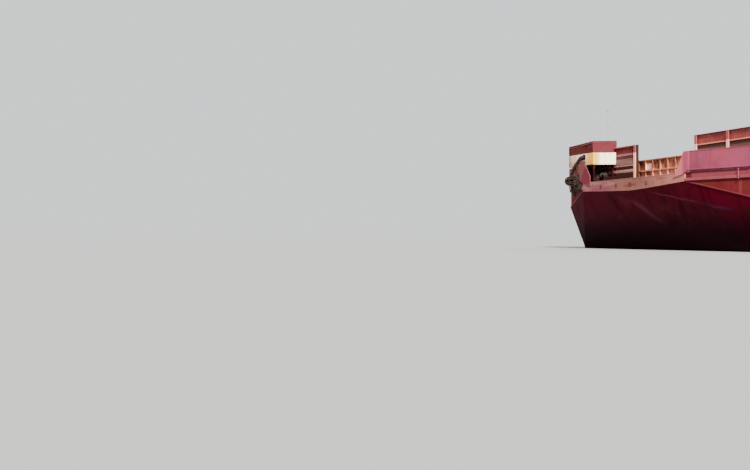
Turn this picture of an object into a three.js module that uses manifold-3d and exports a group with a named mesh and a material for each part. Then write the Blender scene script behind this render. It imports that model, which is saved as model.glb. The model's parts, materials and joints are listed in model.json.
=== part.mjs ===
// Flat-top deck barge with boarded cargo sides, as a 1:10 scale model.
// Frame: +X to the bow, +Y to port, +Z up, origin under the middle of the flat bottom.
// Units are millimetres of the model: 100 here stand for one metre of the full-size barge.
import * as THREE from 'three';
import { ConvexGeometry } from 'three/addons/geometries/ConvexGeometry.js';
import { mergeVertices } from 'three/addons/utils/BufferGeometryUtils.js';
import Module from 'manifold-3d';

const wasm = await Module();
wasm.setup();

// Main sizes
const LENGTH = 9144;
const BEAM = 2438;
const DEPTH = 549;
const BOW_RISE = 35;
const GAP = 0.3;
const SNAP = 64;
const MERGE = 0.02;
const THIN = 0.05;

const BOW_X = LENGTH / 2;
const DECK = DEPTH;
const FOREDECK = DEPTH + BOW_RISE;
const STRAKE_PROUD = 14;
const HULL_HALF = BEAM / 2 - STRAKE_PROUD;

// Hull lines, as distances aft of the foremost point
const BOW_FACE = 13;
const QUARTER_END = 150;
const FOREDECK_END = 800;
const BOW_JOINT = 1400;
const STERN_JOINT = 8240;
const STERN_FACE = LENGTH - 13;
const HEADLOG_HALF = 710;
const BILGE_RISE = 64;
const BILGE_HALF = 1160;

// Underside of the stern
const TRANSOM_LOW = 335;

// Cargo boards: in front posts with a channel board on top, a plank and two rails, lower walls behind
const BOARD_FRONT = 285;
const BOARD_AFT = 8400;
const BOARD_HALF = 1135;
const GATE_HALF = 405;
const POST = 28;
const BOARD_TOP = FOREDECK + 270;
const BOARD_LOW = FOREDECK + 197;
const RAIL_HEIGHTS = [FOREDECK + 125, FOREDECK + 80];
const RAIL = 10;
const PLANK = [FOREDECK + 130, BOARD_LOW];
const SIDE_TOP = FOREDECK + 210;
const SIDE_CAP = 40;
const SIDE_BAYS = 22;
const SIDE_PITCH = (BOARD_AFT - BOARD_FRONT) / SIDE_BAYS;

// Winch hood: the roof falls by drop to the outer side and by pitch to the front
const HOOD = {
  front: 100, back: 300, inner: 725, outer: 1140, low: 141, split: 232, top: 318, drop: 20, pitch: 8, wall: 4,
};

// Posts of the port front boards, and the outer end of the starboard rails under the hood
const PORT_POSTS = [GATE_HALF, (GATE_HALF + BOARD_HALF) / 2, BOARD_HALF];
const RAIL_END = -1064;

// Mooring winch under the hood
const WINCH = { aft: 220, up: 64, front: 172, back: 270, shaft: 10, bore: 10.7, drum: 40, flange: 52, head: 12 };

const COLOURS = {
  rake: [0x41 / 255, 0.07, 0.09],
  band: [0.62, 0.44, 0.42],
  quarter: [0.5, 0.23, 0.23],
  nameWall: [0.7, 0.38, 0.48],
  board: [0.65, 0.34, 0.31],
  boardDark: [0.47, 0.12, 0.15],
  panel: [0.76, 0.52, 0.38],
  deck: [0.42, 0.29, 0.26],
  hoodRed: [0.7, 0.38, 0.42],
  hoodCream: [0.93, 0.88, 0.8],
  dark: [0.16, 0.09, 0.09],
  grey: [0.42, 0.43, 0.44],
  rope: [0.6, 0.53, 0.48],
  pale: [0.8, 0.8, 0.78],
};

const barge = new THREE.Group();

// Basic shapes, all placed by distance aft of the bow

const bowX = (aft) => BOW_X - aft;

// Height of the deck at a distance aft of the bow, with the ramp down from the foredeck
function deckAt(aft) {
  const down = (aft - FOREDECK_END) / (BOW_JOINT - FOREDECK_END);
  return FOREDECK - BOW_RISE * Math.min(1, Math.max(0, down));
}

// Closed solid of a geometry, its corners snapped so that faces meant to meet share their numbers
function solid(geometry) {
  const bare = geometry.clone();
  bare.deleteAttribute('normal');
  bare.deleteAttribute('uv');
  const corners = bare.attributes.position.array;
  corners.forEach((value, index) => {
    corners[index] = Math.round(value * SNAP) / SNAP;
  });
  const merged = mergeVertices(bare, 1e-3);
  const vertProperties = new Float32Array(merged.attributes.position.array);
  const triVerts = new Uint32Array(merged.index.array);
  return new wasm.Manifold(new wasm.Mesh({ numProp: 3, vertProperties, triVerts }));
}

function block(aft, y, z) {
  const size = [aft[1] - aft[0], y[1] - y[0], z[1] - z[0]];
  const shape = new THREE.BoxGeometry(...size);
  shape.translate(bowX((aft[0] + aft[1]) / 2), (y[0] + y[1]) / 2, (z[0] + z[1]) / 2);
  return solid(shape);
}

// Convex solid around points given as [aft, y, z]
function hullOf(points) {
  return solid(new ConvexGeometry(points.map(([aft, y, z]) => new THREE.Vector3(bowX(aft), y, z))));
}

// Flat outline in y and z, carried from one distance aft to another
function crossPlate(outline, aft) {
  const shape = new THREE.Shape(outline.map(([y, z]) => new THREE.Vector2(y, z)));
  const plate = new THREE.ExtrudeGeometry(shape, { depth: aft[1] - aft[0], bevelEnabled: false });
  plate.applyMatrix4(new THREE.Matrix4().set(0, 0, 1, bowX(aft[1]), 1, 0, 0, 0, 0, 1, 0, 0, 0, 0, 0, 1));
  return solid(plate);
}

// Flat outline in aft and z, carried from one y to another
function sidePlate(outline, y) {
  const shape = new THREE.Shape(outline.map(([aft, z]) => new THREE.Vector2(bowX(aft), z)));
  const plate = new THREE.ExtrudeGeometry(shape, { depth: y[1] - y[0], bevelEnabled: false });
  plate.applyMatrix4(new THREE.Matrix4().set(1, 0, 0, 0, 0, 0, -1, y[1], 0, 1, 0, 0, 0, 0, 0, 1));
  return solid(plate);
}

// Flat outline in aft and y, carried from one height to another
function levelPlate(outline, z) {
  const shape = new THREE.Shape(outline.map(([aft, y]) => new THREE.Vector2(bowX(aft), y)));
  const plate = new THREE.ExtrudeGeometry(shape, { depth: z[1] - z[0], bevelEnabled: false });
  plate.translate(0, 0, z[0]);
  return solid(plate);
}

// Round bar from one [aft, y, z] to another
function bar(from, to, radius, sides = 12) {
  const a = new THREE.Vector3(bowX(from[0]), from[1], from[2]);
  const b = new THREE.Vector3(bowX(to[0]), to[1], to[2]);
  const rod = new THREE.CylinderGeometry(radius, radius, a.distanceTo(b), sides);
  const turn = new THREE.Quaternion();
  turn.setFromUnitVectors(new THREE.Vector3(0, 1, 0), b.clone().sub(a).normalize());
  rod.applyQuaternion(turn);
  const middle = a.add(b).multiplyScalar(0.5);
  rod.translate(middle.x, middle.y, middle.z);
  return solid(rod);
}

const join = (solids) => solids.reduce((whole, next) => whole.add(next));

const cut = (whole, tools) => tools.reduce((left, tool) => left.subtract(tool), whole);

// The same solid on the other side of the centre plane
const mirrored = (whole) => whole.mirror([0, 1, 0]);

// Turns the long edge of each needle-thin triangle, where a corner lies on its neighbour's edge
function turnThinTriangles(points, triangles) {
  const at = (corner) => new THREE.Vector3().fromArray(points, 3 * corner);
  const owners = new Map();
  const key = (from, to) => from * points.length + to;
  const record = (t) => [0, 1, 2].forEach((k) =>
    owners.set(key(triangles[3 * t + k], triangles[3 * t + ((k + 1) % 3)]), t));
  const count = triangles.length / 3;
  for (let t = 0; t < count; t += 1) record(t);
  for (let pass = 0; pass < 6; pass += 1) {
    for (let t = 0; t < count; t += 1) {
      const corners = [0, 1, 2].map((k) => triangles[3 * t + k]);
      const lengths = corners.map((c, k) => at(c).distanceTo(at(corners[(k + 1) % 3])));
      const long = lengths.indexOf(Math.max(...lengths));
      const [a, b, c] = [0, 1, 2].map((k) => corners[(long + k) % 3]);
      const area = new THREE.Triangle(at(a), at(b), at(c)).getArea();
      const other = owners.get(key(b, a));
      if ((2 * area) / lengths[long] > THIN || other === undefined) continue;
      const d = [0, 1, 2].map((k) => triangles[3 * other + k]).find((v) => v !== a && v !== b);
      if (owners.has(key(c, d)) || owners.has(key(d, c))) continue;
      owners.delete(key(a, b));
      owners.delete(key(b, a));
      triangles.set([a, d, c], 3 * t);
      triangles.set([d, b, c], 3 * other);
      record(t);
      record(other);
    }
  }
}

function addPart(name, whole, colour) {
  const mesh = whole.simplify(MERGE).getMesh();
  const points = new Float32Array(mesh.vertProperties);
  const triangles = new Uint32Array(mesh.triVerts);
  turnThinTriangles(points, triangles);
  const geometry = new THREE.BufferGeometry();
  geometry.setAttribute('position', new THREE.BufferAttribute(points, 3));
  geometry.setIndex(new THREE.BufferAttribute(triangles, 1));
  const material = new THREE.MeshStandardMaterial({ roughness: 0.7, metalness: 0.2 });
  material.color.setRGB(...colour);
  const part = new THREE.Mesh(geometry, material);
  part.name = name;
  barge.add(part);
}

// A port solid and its mirror image, as two parts
function addPair(name, whole, colour) {
  addPart(`${name}_port`, whole, colour);
  addPart(`${name}_starboard`, mirrored(whole), colour);
}

// Both sides of a list of port points
const bothSides = (points) => points.flatMap(([aft, y, z]) => [[aft, y, z], [aft, -y, z]]);

// Hull

function bowSection() {
  // columns: aft, y, z of the port half
  const deckEdge = [
    [BOW_FACE, HEADLOG_HALF, FOREDECK],
    [QUARTER_END, HULL_HALF, FOREDECK],
    [FOREDECK_END, HULL_HALF, FOREDECK],
    [BOW_JOINT - GAP, HULL_HALF, DECK],
  ];
  const headlogLow = [
    [BOW_FACE, 40, FOREDECK - 86],
    [BOW_FACE, 200, FOREDECK - 80],
    [BOW_FACE, HEADLOG_HALF, FOREDECK - 55],
  ];
  const chine = [
    [QUARTER_END, HULL_HALF, FOREDECK - 170],
    [250, HULL_HALF, FOREDECK - 420],
    [FOREDECK_END, HULL_HALF, BILGE_RISE],
    [BOW_JOINT - GAP, HULL_HALF, BILGE_RISE],
  ];
  const bilgeCrease = [
    [73, 620, FOREDECK - 175],
    [190, 1060, FOREDECK - 275],
    [238, 1130, FOREDECK - 500],
    [FOREDECK_END, BILGE_HALF, 0],
    [BOW_JOINT - GAP, BILGE_HALF, 0],
  ];
  const centreCrease = [
    [250, 320, FOREDECK - 500],
    [FOREDECK_END, 320, 0],
  ];
  const points = [...deckEdge, ...headlogLow, ...chine, ...bilgeCrease, ...centreCrease];
  return hullOf(bothSides(points));
}

function midbody() {
  const half = [
    [HULL_HALF, DECK],
    [HULL_HALF, BILGE_RISE],
    [BILGE_HALF, 0],
  ];
  const section = [BOW_JOINT, STERN_JOINT].flatMap((aft) => half.map(([y, z]) => [aft, y, z]));
  return hullOf(bothSides(section));
}

function sternSection() {
  return hullOf(bothSides([
    [STERN_JOINT + GAP, HULL_HALF, DECK],
    [STERN_JOINT + GAP, HULL_HALF, BILGE_RISE],
    [STERN_JOINT + GAP, BILGE_HALF, 0],
    [9000, HULL_HALF, DECK],
    [9000, HULL_HALF, 300],
    [STERN_FACE, 1100, DECK],
    [STERN_FACE, 1100, TRANSOM_LOW + 12],
    [STERN_FACE, 1050, TRANSOM_LOW],
  ]));
}

function skeg() {
  const slope = TRANSOM_LOW / (STERN_FACE - STERN_JOINT);
  const under = (aft) => (aft - STERN_JOINT) * slope - GAP;
  const outline = [
    [8300, 0],
    [9060, 0],
    [9090, under(9090)],
    [8300, under(8300)],
  ];
  return sidePlate(outline.reverse(), [700, 730]);
}

// Front band of the bow, deeper to starboard, with four small round chock holes
function headlogBand() {
  const outline = [
    [HEADLOG_HALF, FOREDECK],
    [HEADLOG_HALF, FOREDECK - 55],
    [200, FOREDECK - 80],
    [0, FOREDECK - 87],
    [-200, FOREDECK - 82],
    [-HEADLOG_HALF, FOREDECK - 67],
    [-HEADLOG_HALF, FOREDECK],
  ];
  const band = crossPlate(outline.reverse(), [5, BOW_FACE - GAP]);
  const chockZ = FOREDECK - 42;
  const holes = [-420, -190, 10, 230].map((y) => bar([-5, y, chockZ], [20, y, chockZ], 8, 12));
  return cut(band, holes);
}

function transomPlate() {
  return block([STERN_FACE + GAP, LENGTH], [-1040, 1040], [TRANSOM_LOW + 40, DECK]);
}

// A point on the port quarter panel: s along it from the bow corner, out from it
const QUARTER_RUN = [QUARTER_END - BOW_FACE, HULL_HALF - HEADLOG_HALF];
const QUARTER_LENGTH = Math.hypot(...QUARTER_RUN);
function quarterPoint(s, out) {
  const [da, dy] = QUARTER_RUN.map((run) => run / QUARTER_LENGTH);
  return [BOW_FACE + s * da - out * dy, HEADLOG_HALF + s * dy + out * da];
}

// Bar of a given thickness range out of the quarter panel, from s0 to s1
function quarterBar(s, out, z) {
  const outline = [
    quarterPoint(s[0], out[0]),
    quarterPoint(s[1], out[0]),
    quarterPoint(s[1], out[1]),
    quarterPoint(s[0], out[1]),
  ];
  return levelPlate(outline, z);
}

const FENDER_Z = [FOREDECK - 53, FOREDECK - 36];

function quarterFender() {
  return quarterBar([2, QUARTER_LENGTH - 2], [GAP, 12], FENDER_Z);
}

// Side rubbing strakes with upright fenders between them
function sideStrakes() {
  const y = [HULL_HALF + GAP, BEAM / 2];
  const upper = block([FOREDECK_END, 8990], y, [DECK - 50, DECK - 22]);
  const fore = block([165, FOREDECK_END + 1], y, [DECK - 50, DECK - 22]);
  const lower = block([FOREDECK_END, 8700], y, [250, 276]);
  const uprights = [];
  for (let aft = FOREDECK_END; aft < 8700; aft += 600) {
    uprights.push(block([aft, aft + 26], y, [250, DECK - 22]));
  }
  return join([upper, fore, lower, ...uprights]);
}

// Name wall on the bow quarter, with its kerb, lip and cap, the slanted end and the stays behind it
const WALL = { kerb: -10, inner: 8, outer: STRAKE_PROUD, low: FOREDECK + 16, high: FOREDECK + 133, start: 36 };

// Outlines of the slanted end plates in y and z; the starboard one reaches further in and stands higher
const WING_FOOT = [[579, FOREDECK - 29], [695, FOREDECK - 10], [752, WALL.low]];
const WINGS = {
  port: [[752, WALL.high], [705, WALL.high], ...WING_FOOT],
  starboard: [[752, WALL.high + 30], [660, WALL.high + 30], [660, WALL.high], [580, FOREDECK + 43], ...WING_FOOT],
};

function nameWall(outline) {
  const along = [WALL.start, QUARTER_LENGTH];
  const corner = QUARTER_LENGTH + 10.5;
  const kerbZ = [FOREDECK + GAP, WALL.low];
  const lipZ = [WALL.low - 4, WALL.low + 4];
  const wall = quarterBar([WALL.start, corner], [WALL.inner, WALL.outer], [WALL.low, WALL.high]);
  const kerb = quarterBar(along, [WALL.kerb, 2], kerbZ);
  const lip = quarterBar(along, [WALL.kerb, WALL.outer + 2], lipZ);
  const cap = quarterBar(along, [WALL.inner - 6, WALL.outer + 1], [WALL.high - 5, WALL.high]);
  const side = block([140, 600], [HULL_HALF + WALL.inner, BEAM / 2], [WALL.low, WALL.high]);
  const slope = sidePlate([[500, WALL.high + 1], [601, WALL.low + 20], [601, WALL.high + 1]],
    [HULL_HALF - 10, HULL_HALF + 30]);
  const sideKerb = block([148, 600], [HULL_HALF + WALL.kerb, HULL_HALF + 2], kerbZ);
  const sideLip = block([148, 600], [HULL_HALF + WALL.kerb, BEAM / 2], lipZ);
  const wing = crossPlate(outline, [0, 4.7]);
  const fold = block([0, 24], [742, 752], [WALL.low, WALL.high]);
  const stays = [];
  for (let s = 70; s < QUARTER_LENGTH - 20; s += 105) {
    stays.push(quarterStay(s));
  }
  for (let aft = 240; aft < 480; aft += 110) {
    stays.push(sideStay(aft));
  }
  const plates = [wall, kerb, lip, cap, cut(side, [slope]), sideKerb, sideLip, wing, fold];
  return join([...plates, ...stays]);
}

function quarterStay(s) {
  const foot = FOREDECK + GAP;
  const top = FOREDECK + 115;
  const corners = [-3, 3].flatMap((half) => [
    [...quarterPoint(s + half, WALL.inner + 1), foot + 3],
    [...quarterPoint(s + half, WALL.inner + 1), top],
    [...quarterPoint(s + half, -55), foot],
    [...quarterPoint(s + half, -2), foot],
  ]);
  return hullOf(corners);
}

function sideStay(aft) {
  const foot = FOREDECK + GAP;
  const top = FOREDECK + 115;
  const corners = [aft - 3, aft + 3].flatMap((a) => [
    [a, HULL_HALF + WALL.inner + 1, foot + 3],
    [a, HULL_HALF + WALL.inner + 1, top],
    [a, HULL_HALF - 45, foot],
    [a, HULL_HALF - 2, foot],
  ]);
  return hullOf(corners);
}

// Cargo boards

// Channel board and the plank under it across the front, from one y to another
function frontWall(y) {
  const run = (depth, z) => block([BOARD_FRONT + depth[0], BOARD_FRONT + depth[1]], y, z);
  const lips = [[BOARD_LOW, BOARD_LOW + 6], [BOARD_TOP - 6, BOARD_TOP]].map((z) => run([-11, 3], z));
  return [run([-3, 3], [BOARD_LOW, BOARD_TOP]), ...lips, run([-9, -1], PLANK)];
}

function rails(y) {
  const half = RAIL / 2;
  return RAIL_HEIGHTS.map((z) => block([BOARD_FRONT - half, BOARD_FRONT + half], y, [z - half, z + half]));
}

function post(y, top) {
  const half = POST / 2;
  return block([BOARD_FRONT - half, BOARD_FRONT + half], [y - half, y + half], [FOREDECK + GAP, top]);
}

function portBoards() {
  const y = [GATE_HALF, BOARD_HALF];
  return join([...PORT_POSTS.map((at) => post(at, BOARD_TOP)), ...frontWall(y), ...rails(y)]);
}

// The starboard board butts against the hood, and its rails run on under the hood to a short post
function starboardBoards() {
  const inner = post(-GATE_HALF, BOARD_TOP);
  const outer = post(RAIL_END, RAIL_HEIGHTS[0] + RAIL / 2);
  const wall = frontWall([GAP - HOOD.inner, -GATE_HALF]);
  return join([inner, outer, ...wall, ...rails([RAIL_END, -GATE_HALF])]);
}

// Plate of the side and aft walls, its ribs outside it, and how far its lips stand out
const SIDE_PLATE = { inner: -3, outer: 3, rib: 14, lip: 11 };

// Side wall of stiffened plate, from a distance aft of the bow to the aft wall
function sideBoards(start) {
  const end = BOARD_AFT - POST / 2 - GAP;
  const { inner, outer, rib, lip } = SIDE_PLATE;
  const y = (near, far) => [BOARD_HALF + near, BOARD_HALF + far];
  const plate = sidePlate([
    [start, FOREDECK + GAP],
    [FOREDECK_END, FOREDECK + GAP],
    [BOW_JOINT, DECK + GAP],
    [end, DECK + GAP],
    [end, SIDE_TOP],
    [start, SIDE_TOP],
  ], y(inner, outer));
  const ribs = [];
  for (let bay = 1; bay < SIDE_BAYS; bay += 1) {
    const aft = BOARD_FRONT + bay * SIDE_PITCH;
    const front = aft - POST / 2;
    ribs.push(block([front, front + POST], y(0, rib), [deckAt(front) + GAP, SIDE_TOP]));
  }
  const lips = [RAIL_HEIGHTS[1], SIDE_TOP - SIDE_CAP].map((z) => block([start, end], y(0, lip), [z, z + 6]));
  const top = block([start, end], y(inner, rib), [SIDE_TOP - 6, SIDE_TOP]);
  return join([plate, ...ribs, ...lips, top]);
}

// Aft wall of the same stiffened plate
function aftBoards() {
  const { outer, inner, rib, lip } = SIDE_PLATE;
  const face = BOARD_AFT - POST / 2;
  const half = BOARD_HALF + rib;
  const depth = (near, far) => [face + near - inner, face + far - inner];
  const z = [DECK + GAP, SIDE_TOP];
  const plate = block(depth(inner, outer), [-half, half], z);
  const ribs = [];
  const bays = 6;
  for (let bay = 0; bay <= bays; bay += 1) {
    const y = -BOARD_HALF + (2 * BOARD_HALF * bay) / bays;
    ribs.push(block(depth(0, rib), [y - POST / 2, y + POST / 2], z));
  }
  const lips = [RAIL_HEIGHTS[1], SIDE_TOP - SIDE_CAP].map((low) =>
    block(depth(0, lip), [-half, half], [low, low + 6]));
  const top = block(depth(inner, rib), [-half, half], [SIDE_TOP - 6, SIDE_TOP]);
  return join([plate, ...ribs, ...lips, top]);
}

// Stiffened plate that closes the lower part of the gap between the front boards
function centrePanel() {
  const half = 460;
  const base = FOREDECK + GAP;
  const top = FOREDECK + 155;
  const plate = block([345, 350], [-half, half], [base, top]);
  const flanges = [[base, base + 8], [base + 70, base + 78], [top - 8, top]].map((z) =>
    block([333, 346], [-half, half], z));
  const ribs = [];
  const bays = 9;
  for (let bay = 0; bay <= bays; bay += 1) {
    const y = -half + 4 + ((2 * half - 8) * bay) / bays;
    ribs.push(block([333, 346], [y - 4, y + 4], [base, top]));
  }
  return join([plate, ...flanges, ...ribs]);
}

// Winch hood, to starboard

const hoodZ = (up) => FOREDECK + up;

// Top of the roof at a distance aft of the bow and out to starboard
function hoodTop(aft, out) {
  const { front, back, inner, outer, top, drop, pitch } = HOOD;
  const fall = (drop * (out - inner)) / (outer - inner) + (pitch * (back - aft)) / (back - front);
  return hoodZ(top - fall);
}

// Solid under a slanted plane that is parallel to the roof, lower than it by a depth
function underRoof(aft, out, low, depth) {
  return hullOf(aft.flatMap((a) => out.flatMap((o) => [[a, -o, low], [a, -o, hoodTop(a, o) - depth]])));
}

function hoodSkirt() {
  const { front, back, inner, outer, low, split, wall } = HOOD;
  const shell = block([front, back], [-outer, -inner], [hoodZ(low), hoodZ(split) - GAP]);
  const room = block([front + wall, back - wall], [wall - outer, -inner - wall], [hoodZ(low) - 5, hoodZ(split)]);
  return shell.subtract(room);
}

function hoodRoof() {
  const { front, back, inner, outer, split, wall } = HOOD;
  const shell = underRoof([front, back], [inner, outer], hoodZ(split), 0);
  const room = underRoof([front + wall, back - wall], [inner + wall, outer - wall], hoodZ(split) - 5, wall);
  return shell.subtract(room);
}

// Frame in the hood: four legs, a ring of beams under the roof, and two beams that carry the skirt.
// The back legs stand clear of the rails that run on under the hood.
function hoodFrame() {
  const leg = 14;
  const inset = HOOD.wall + GAP;
  const out = [HOOD.inner + inset, HOOD.outer - inset];
  const aft = [HOOD.front + inset, HOOD.back - inset];
  const foot = FOREDECK + GAP;
  const upright = (a, o) => block([a, a + leg], [-o - leg, -o], [foot, hoodTop(a, o + leg) - inset - 1]);
  const frontLegs = [out[0], 930].map((o) => upright(aft[0], o));
  const backLegs = [out[0], out[1] - leg].map((o) => upright(BOARD_FRONT - 23, o));
  const beam = (a, o) => underRoof(a, o, hoodTop(a[0], o[1]) - inset - leg, inset);
  const ring = [
    beam([aft[0], aft[0] + leg], out),
    beam([aft[1] - leg, aft[1]], out),
    beam(aft, [out[0], out[0] + leg]),
    beam(aft, [out[1] - leg, out[1]]),
  ];
  const shelf = [hoodZ(HOOD.low) + 4, hoodZ(HOOD.low) + 14];
  const lowBeams = [
    block([aft[0], aft[0] + leg], [-out[1], -out[0]], shelf),
    block([aft[1] - 34, aft[1]], [-out[0] - leg, -out[0]], shelf),
    block([aft[1] - 34, aft[1]], [-out[1], leg - out[1]], shelf),
    block([aft[1] - leg, aft[1]], [-out[1], -out[0]], shelf),
  ];
  return join([...frontLegs, ...backLegs, ...ring, ...lowBeams]);
}

// Dark brace in front of the hood, from its face to the top of the name wall
function hoodBrace() {
  return bar([89.6, -830, hoodZ(207)], [72, -960, hoodZ(142.6)], 10, 12);
}

function lightPole() {
  const base = 14;
  const at = [245, -760];
  const foot = hoodTop(at[0] + base, -at[1] - base) + GAP;
  const plate = bar([...at, foot], [...at, foot + 4], base, 12);
  const pole = bar([...at, foot + 2], [...at, hoodZ(556)], 3.5, 8);
  const lamp = bar([...at, hoodZ(552)], [...at, hoodZ(572)], 8, 12);
  return join([plate, pole, lamp]);
}

// Mooring winch

const winchZ = FOREDECK + WINCH.up;

function winchBed() {
  const foot = FOREDECK + GAP;
  const { front, back } = WINCH;
  const rails = [front, back - 14].map((aft) => block([aft, aft + 14], [-1100, -800], [foot, foot + 10]));
  const bore = bar([WINCH.aft, -1045, winchZ], [WINCH.aft, -700, winchZ], WINCH.bore, 16);
  const stands = [-1036, -846].map((y) => {
    const outline = [[front, foot], [back, foot], [back - 30, winchZ + 20], [front + 30, winchZ + 20]];
    return sidePlate(outline.reverse(), [y, y + 10]);
  });
  const endBeam = block([front, back], [-1100, -1086], [foot, foot + 10]);
  return cut(join([...rails, ...stands, endBeam]), [bore]);
}

function winchCase() {
  const foot = FOREDECK + 10 + 2 * GAP;
  const body = block([WINCH.front, WINCH.back], [-1100, -1042], [foot, winchZ + 28]);
  const motor = bar([200, -1071, winchZ + 26], [200, -1071, winchZ + 58], 20, 12);
  const bore = bar([WINCH.aft, -1065, winchZ], [WINCH.aft, -1035, winchZ], WINCH.bore, 16);
  return cut(join([body, motor]), [bore]);
}

// Turning part of the winch: shaft, drum with its flanges, and the warping head at the inner end
function winchDrum() {
  const along = (y0, y1, radius, sides) => bar([WINCH.aft, y0, winchZ], [WINCH.aft, y1, winchZ], radius, sides);
  return join([
    along(-1060, -745, WINCH.shaft, 16),
    along(-1008, -858, WINCH.drum, 24),
    along(-1016, -1008, WINCH.flange, 24),
    along(-858, -850, WINCH.flange, 24),
    along(-806, -798, WINCH.head + 7, 20),
    along(-799, -758, WINCH.head, 20),
    along(-759, -750, WINCH.head + 6, 20),
  ]);
}

// Two-horned cleat on the outside of the starboard name wall, and the rope made fast on it

const CLEAT_S = 185;
const CLEAT_REACH = 70;
const CLEAT_OUT = 36;
const CLEAT_UP = 38;
const TURNS_UP = 25;

function starboard(point) {
  return [point[0], -point[1]];
}

function starboardWall(s, out, z) {
  return [...starboard(quarterPoint(s, out)), z];
}

// Horn bar and its two feet, thicker and longer by the given margins
function cleatBars(margin, extra) {
  const z = FOREDECK + CLEAT_UP;
  const reach = CLEAT_REACH + extra;
  const horns = bar(starboardWall(CLEAT_S - reach, CLEAT_OUT, z), starboardWall(CLEAT_S + reach, CLEAT_OUT, z),
    6 + margin, 10);
  const feet = [-25, 25].map((s) => bar(starboardWall(CLEAT_S + s, WALL.outer + GAP - extra, z),
    starboardWall(CLEAT_S + s, CLEAT_OUT, z), 5 + margin, 10));
  return [horns, ...feet];
}

const mooringCleat = () => join(cleatBars(0, 0));

// Rope made fast in turns round the cleat, as one bundle with the cleat's tunnel through it
function mooringTurns() {
  // columns: distance along the wall, half height, out from, out to
  const rings = [
    [45, 16, 18, 22],
    [100, 34, 18, 39],
    [200, 38, 20, 66],
    [280, 32, 28, 88],
    [320, 14, 52, 88],
  ];
  const z = FOREDECK + TURNS_UP;
  const turns = rings.flatMap(([s, half, near, far]) => [
    starboardWall(s, (near + far) / 2, z - half),
    starboardWall(s, (near + far) / 2, z + half),
    ...[near, far].flatMap((out) => [-half / 2, half / 2].map((up) => starboardWall(s, out, z + up))),
  ]);
  // columns: distance along the wall, out, height over the foredeck, of the slack coil below
  const coil = [
    [130, 26, 5],
    [230, 26, 5],
    [130, 44, 5],
    [230, 68, 5],
    [150, 30, -60],
    [205, 30, -60],
    [150, 44, -66],
    [205, 52, -66],
  ].map(([s, out, up]) => starboardWall(s, out, FOREDECK + up));
  return cut(join([hullOf(turns), hullOf(coil)]), cleatBars(0.4, 30));
}

// Bitts: two posts with caps on a base plate, joined by a cross bar
function bitt(aft, y, across) {
  const foot = Math.max(deckAt(aft - 30), deckAt(aft)) + GAP;
  const step = (d) => (across ? [aft, y + d] : [aft + d, y]);
  const plate = across
    ? block([aft - 24, aft + 24], [y - 64, y + 64], [foot, foot + 4])
    : block([aft - 64, aft + 64], [y - 24, y + 24], [foot, foot + 4]);
  const posts = [-38, 38].flatMap((d) => [
    bar([...step(d), foot + 2], [...step(d), foot + 58], 14, 12),
    bar([...step(d), foot + 56], [...step(d), foot + 62], 18, 12),
  ]);
  const cross = bar([...step(-56), foot + 34], [...step(56), foot + 34], 6, 10);
  return join([plate, ...posts, cross]);
}

// Access hatches: a raised coaming, and a lid hinged on its after side

const HATCH = { half: 34, up: 26, wall: 5, lid: 4, pin: 3, hinge: 8, ear: [14, 22] };
const HATCHES = { fore: [205, 900], aft: [8760, 520] };

// Foot height and hinge line of a hatch
function hatchPlaces([aft, y]) {
  const foot = deckAt(aft - HATCH.half) + GAP;
  return { foot, hinge: [aft + HATCH.half + HATCH.hinge, y, foot + HATCH.up + 2] };
}

function hatchPin(place, halfLength, radius) {
  const [aft, y, z] = hatchPlaces(place).hinge;
  return bar([aft, y - halfLength, z], [aft, y + halfLength, z], radius, 12);
}

function hatchCoaming(place) {
  const [aft, y] = place;
  const { foot, hinge } = hatchPlaces(place);
  const { half, wall, up, pin, ear } = HATCH;
  const outside = block([aft - half, aft + half], [y - half, y + half], [foot, foot + up]);
  const shaft = block([aft - half + wall, aft + half - wall], [y - half + wall, y + half - wall],
    [foot + 6, foot + up + 1]);
  const ears = [[-ear[1], -ear[0]], ear].map(([near, far]) =>
    block([aft + half - 1, hinge[0] + 5], [y + near, y + far], [foot + up - 10, hinge[2] + 5]));
  return cut(join([cut(outside, [shaft]), ...ears]), [hatchPin(place, half, pin + 0.6)]);
}

function hatchLid(place) {
  const [aft, y] = place;
  const { foot, hinge } = hatchPlaces(place);
  const { half, up, lid, pin, ear } = HATCH;
  const z = [foot + up + 0.5, foot + up + 0.5 + lid];
  const plate = block([aft - half - 2, aft + half - 1], [y - half - 2, y + half + 2], z);
  const notches = [[-ear[1] - 2, 1 - ear[0]], [ear[0] - 1, ear[1] + 2]].map(([near, far]) =>
    block([aft + half - 5, aft + half], [y + near, y + far], [z[0] - 1, z[1] + 1]));
  const strap = block([aft + half - 12, hinge[0]], [y + 1 - ear[0], y + ear[0] - 1], z);
  const grip = block([aft - half + 6, aft - half + 10], [y - 12, y + 12], [z[1] - 1, z[1] + 6]);
  return join([cut(plate, notches), strap, grip, hatchPin(place, ear[1], pin)]);
}

// Assembly

addPart('bow_section', bowSection(), COLOURS.rake);
addPart('midbody', midbody(), COLOURS.rake);
addPart('stern_section', sternSection(), COLOURS.rake);
addPair('skeg', skeg(), COLOURS.rake);
addPart('headlog_band', headlogBand(), COLOURS.band);
addPart('transom_plate', transomPlate(), COLOURS.band);
addPair('quarter_fender', quarterFender(), COLOURS.quarter);
addPair('side_strakes', sideStrakes(), COLOURS.quarter);
addPart('name_wall_port', nameWall(WINGS.port), COLOURS.nameWall);
addPart('name_wall_starboard', mirrored(nameWall(WINGS.starboard)), COLOURS.nameWall);
addPart('front_boards_port', portBoards(), COLOURS.board);
addPart('front_boards_starboard', starboardBoards(), COLOURS.boardDark);
addPart('side_boards_port', sideBoards(BOARD_FRONT + POST / 2 + GAP), COLOURS.boardDark);
addPart('side_boards_starboard', mirrored(sideBoards(HOOD.back + GAP)), COLOURS.boardDark);
addPart('aft_boards', aftBoards(), COLOURS.boardDark);
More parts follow.
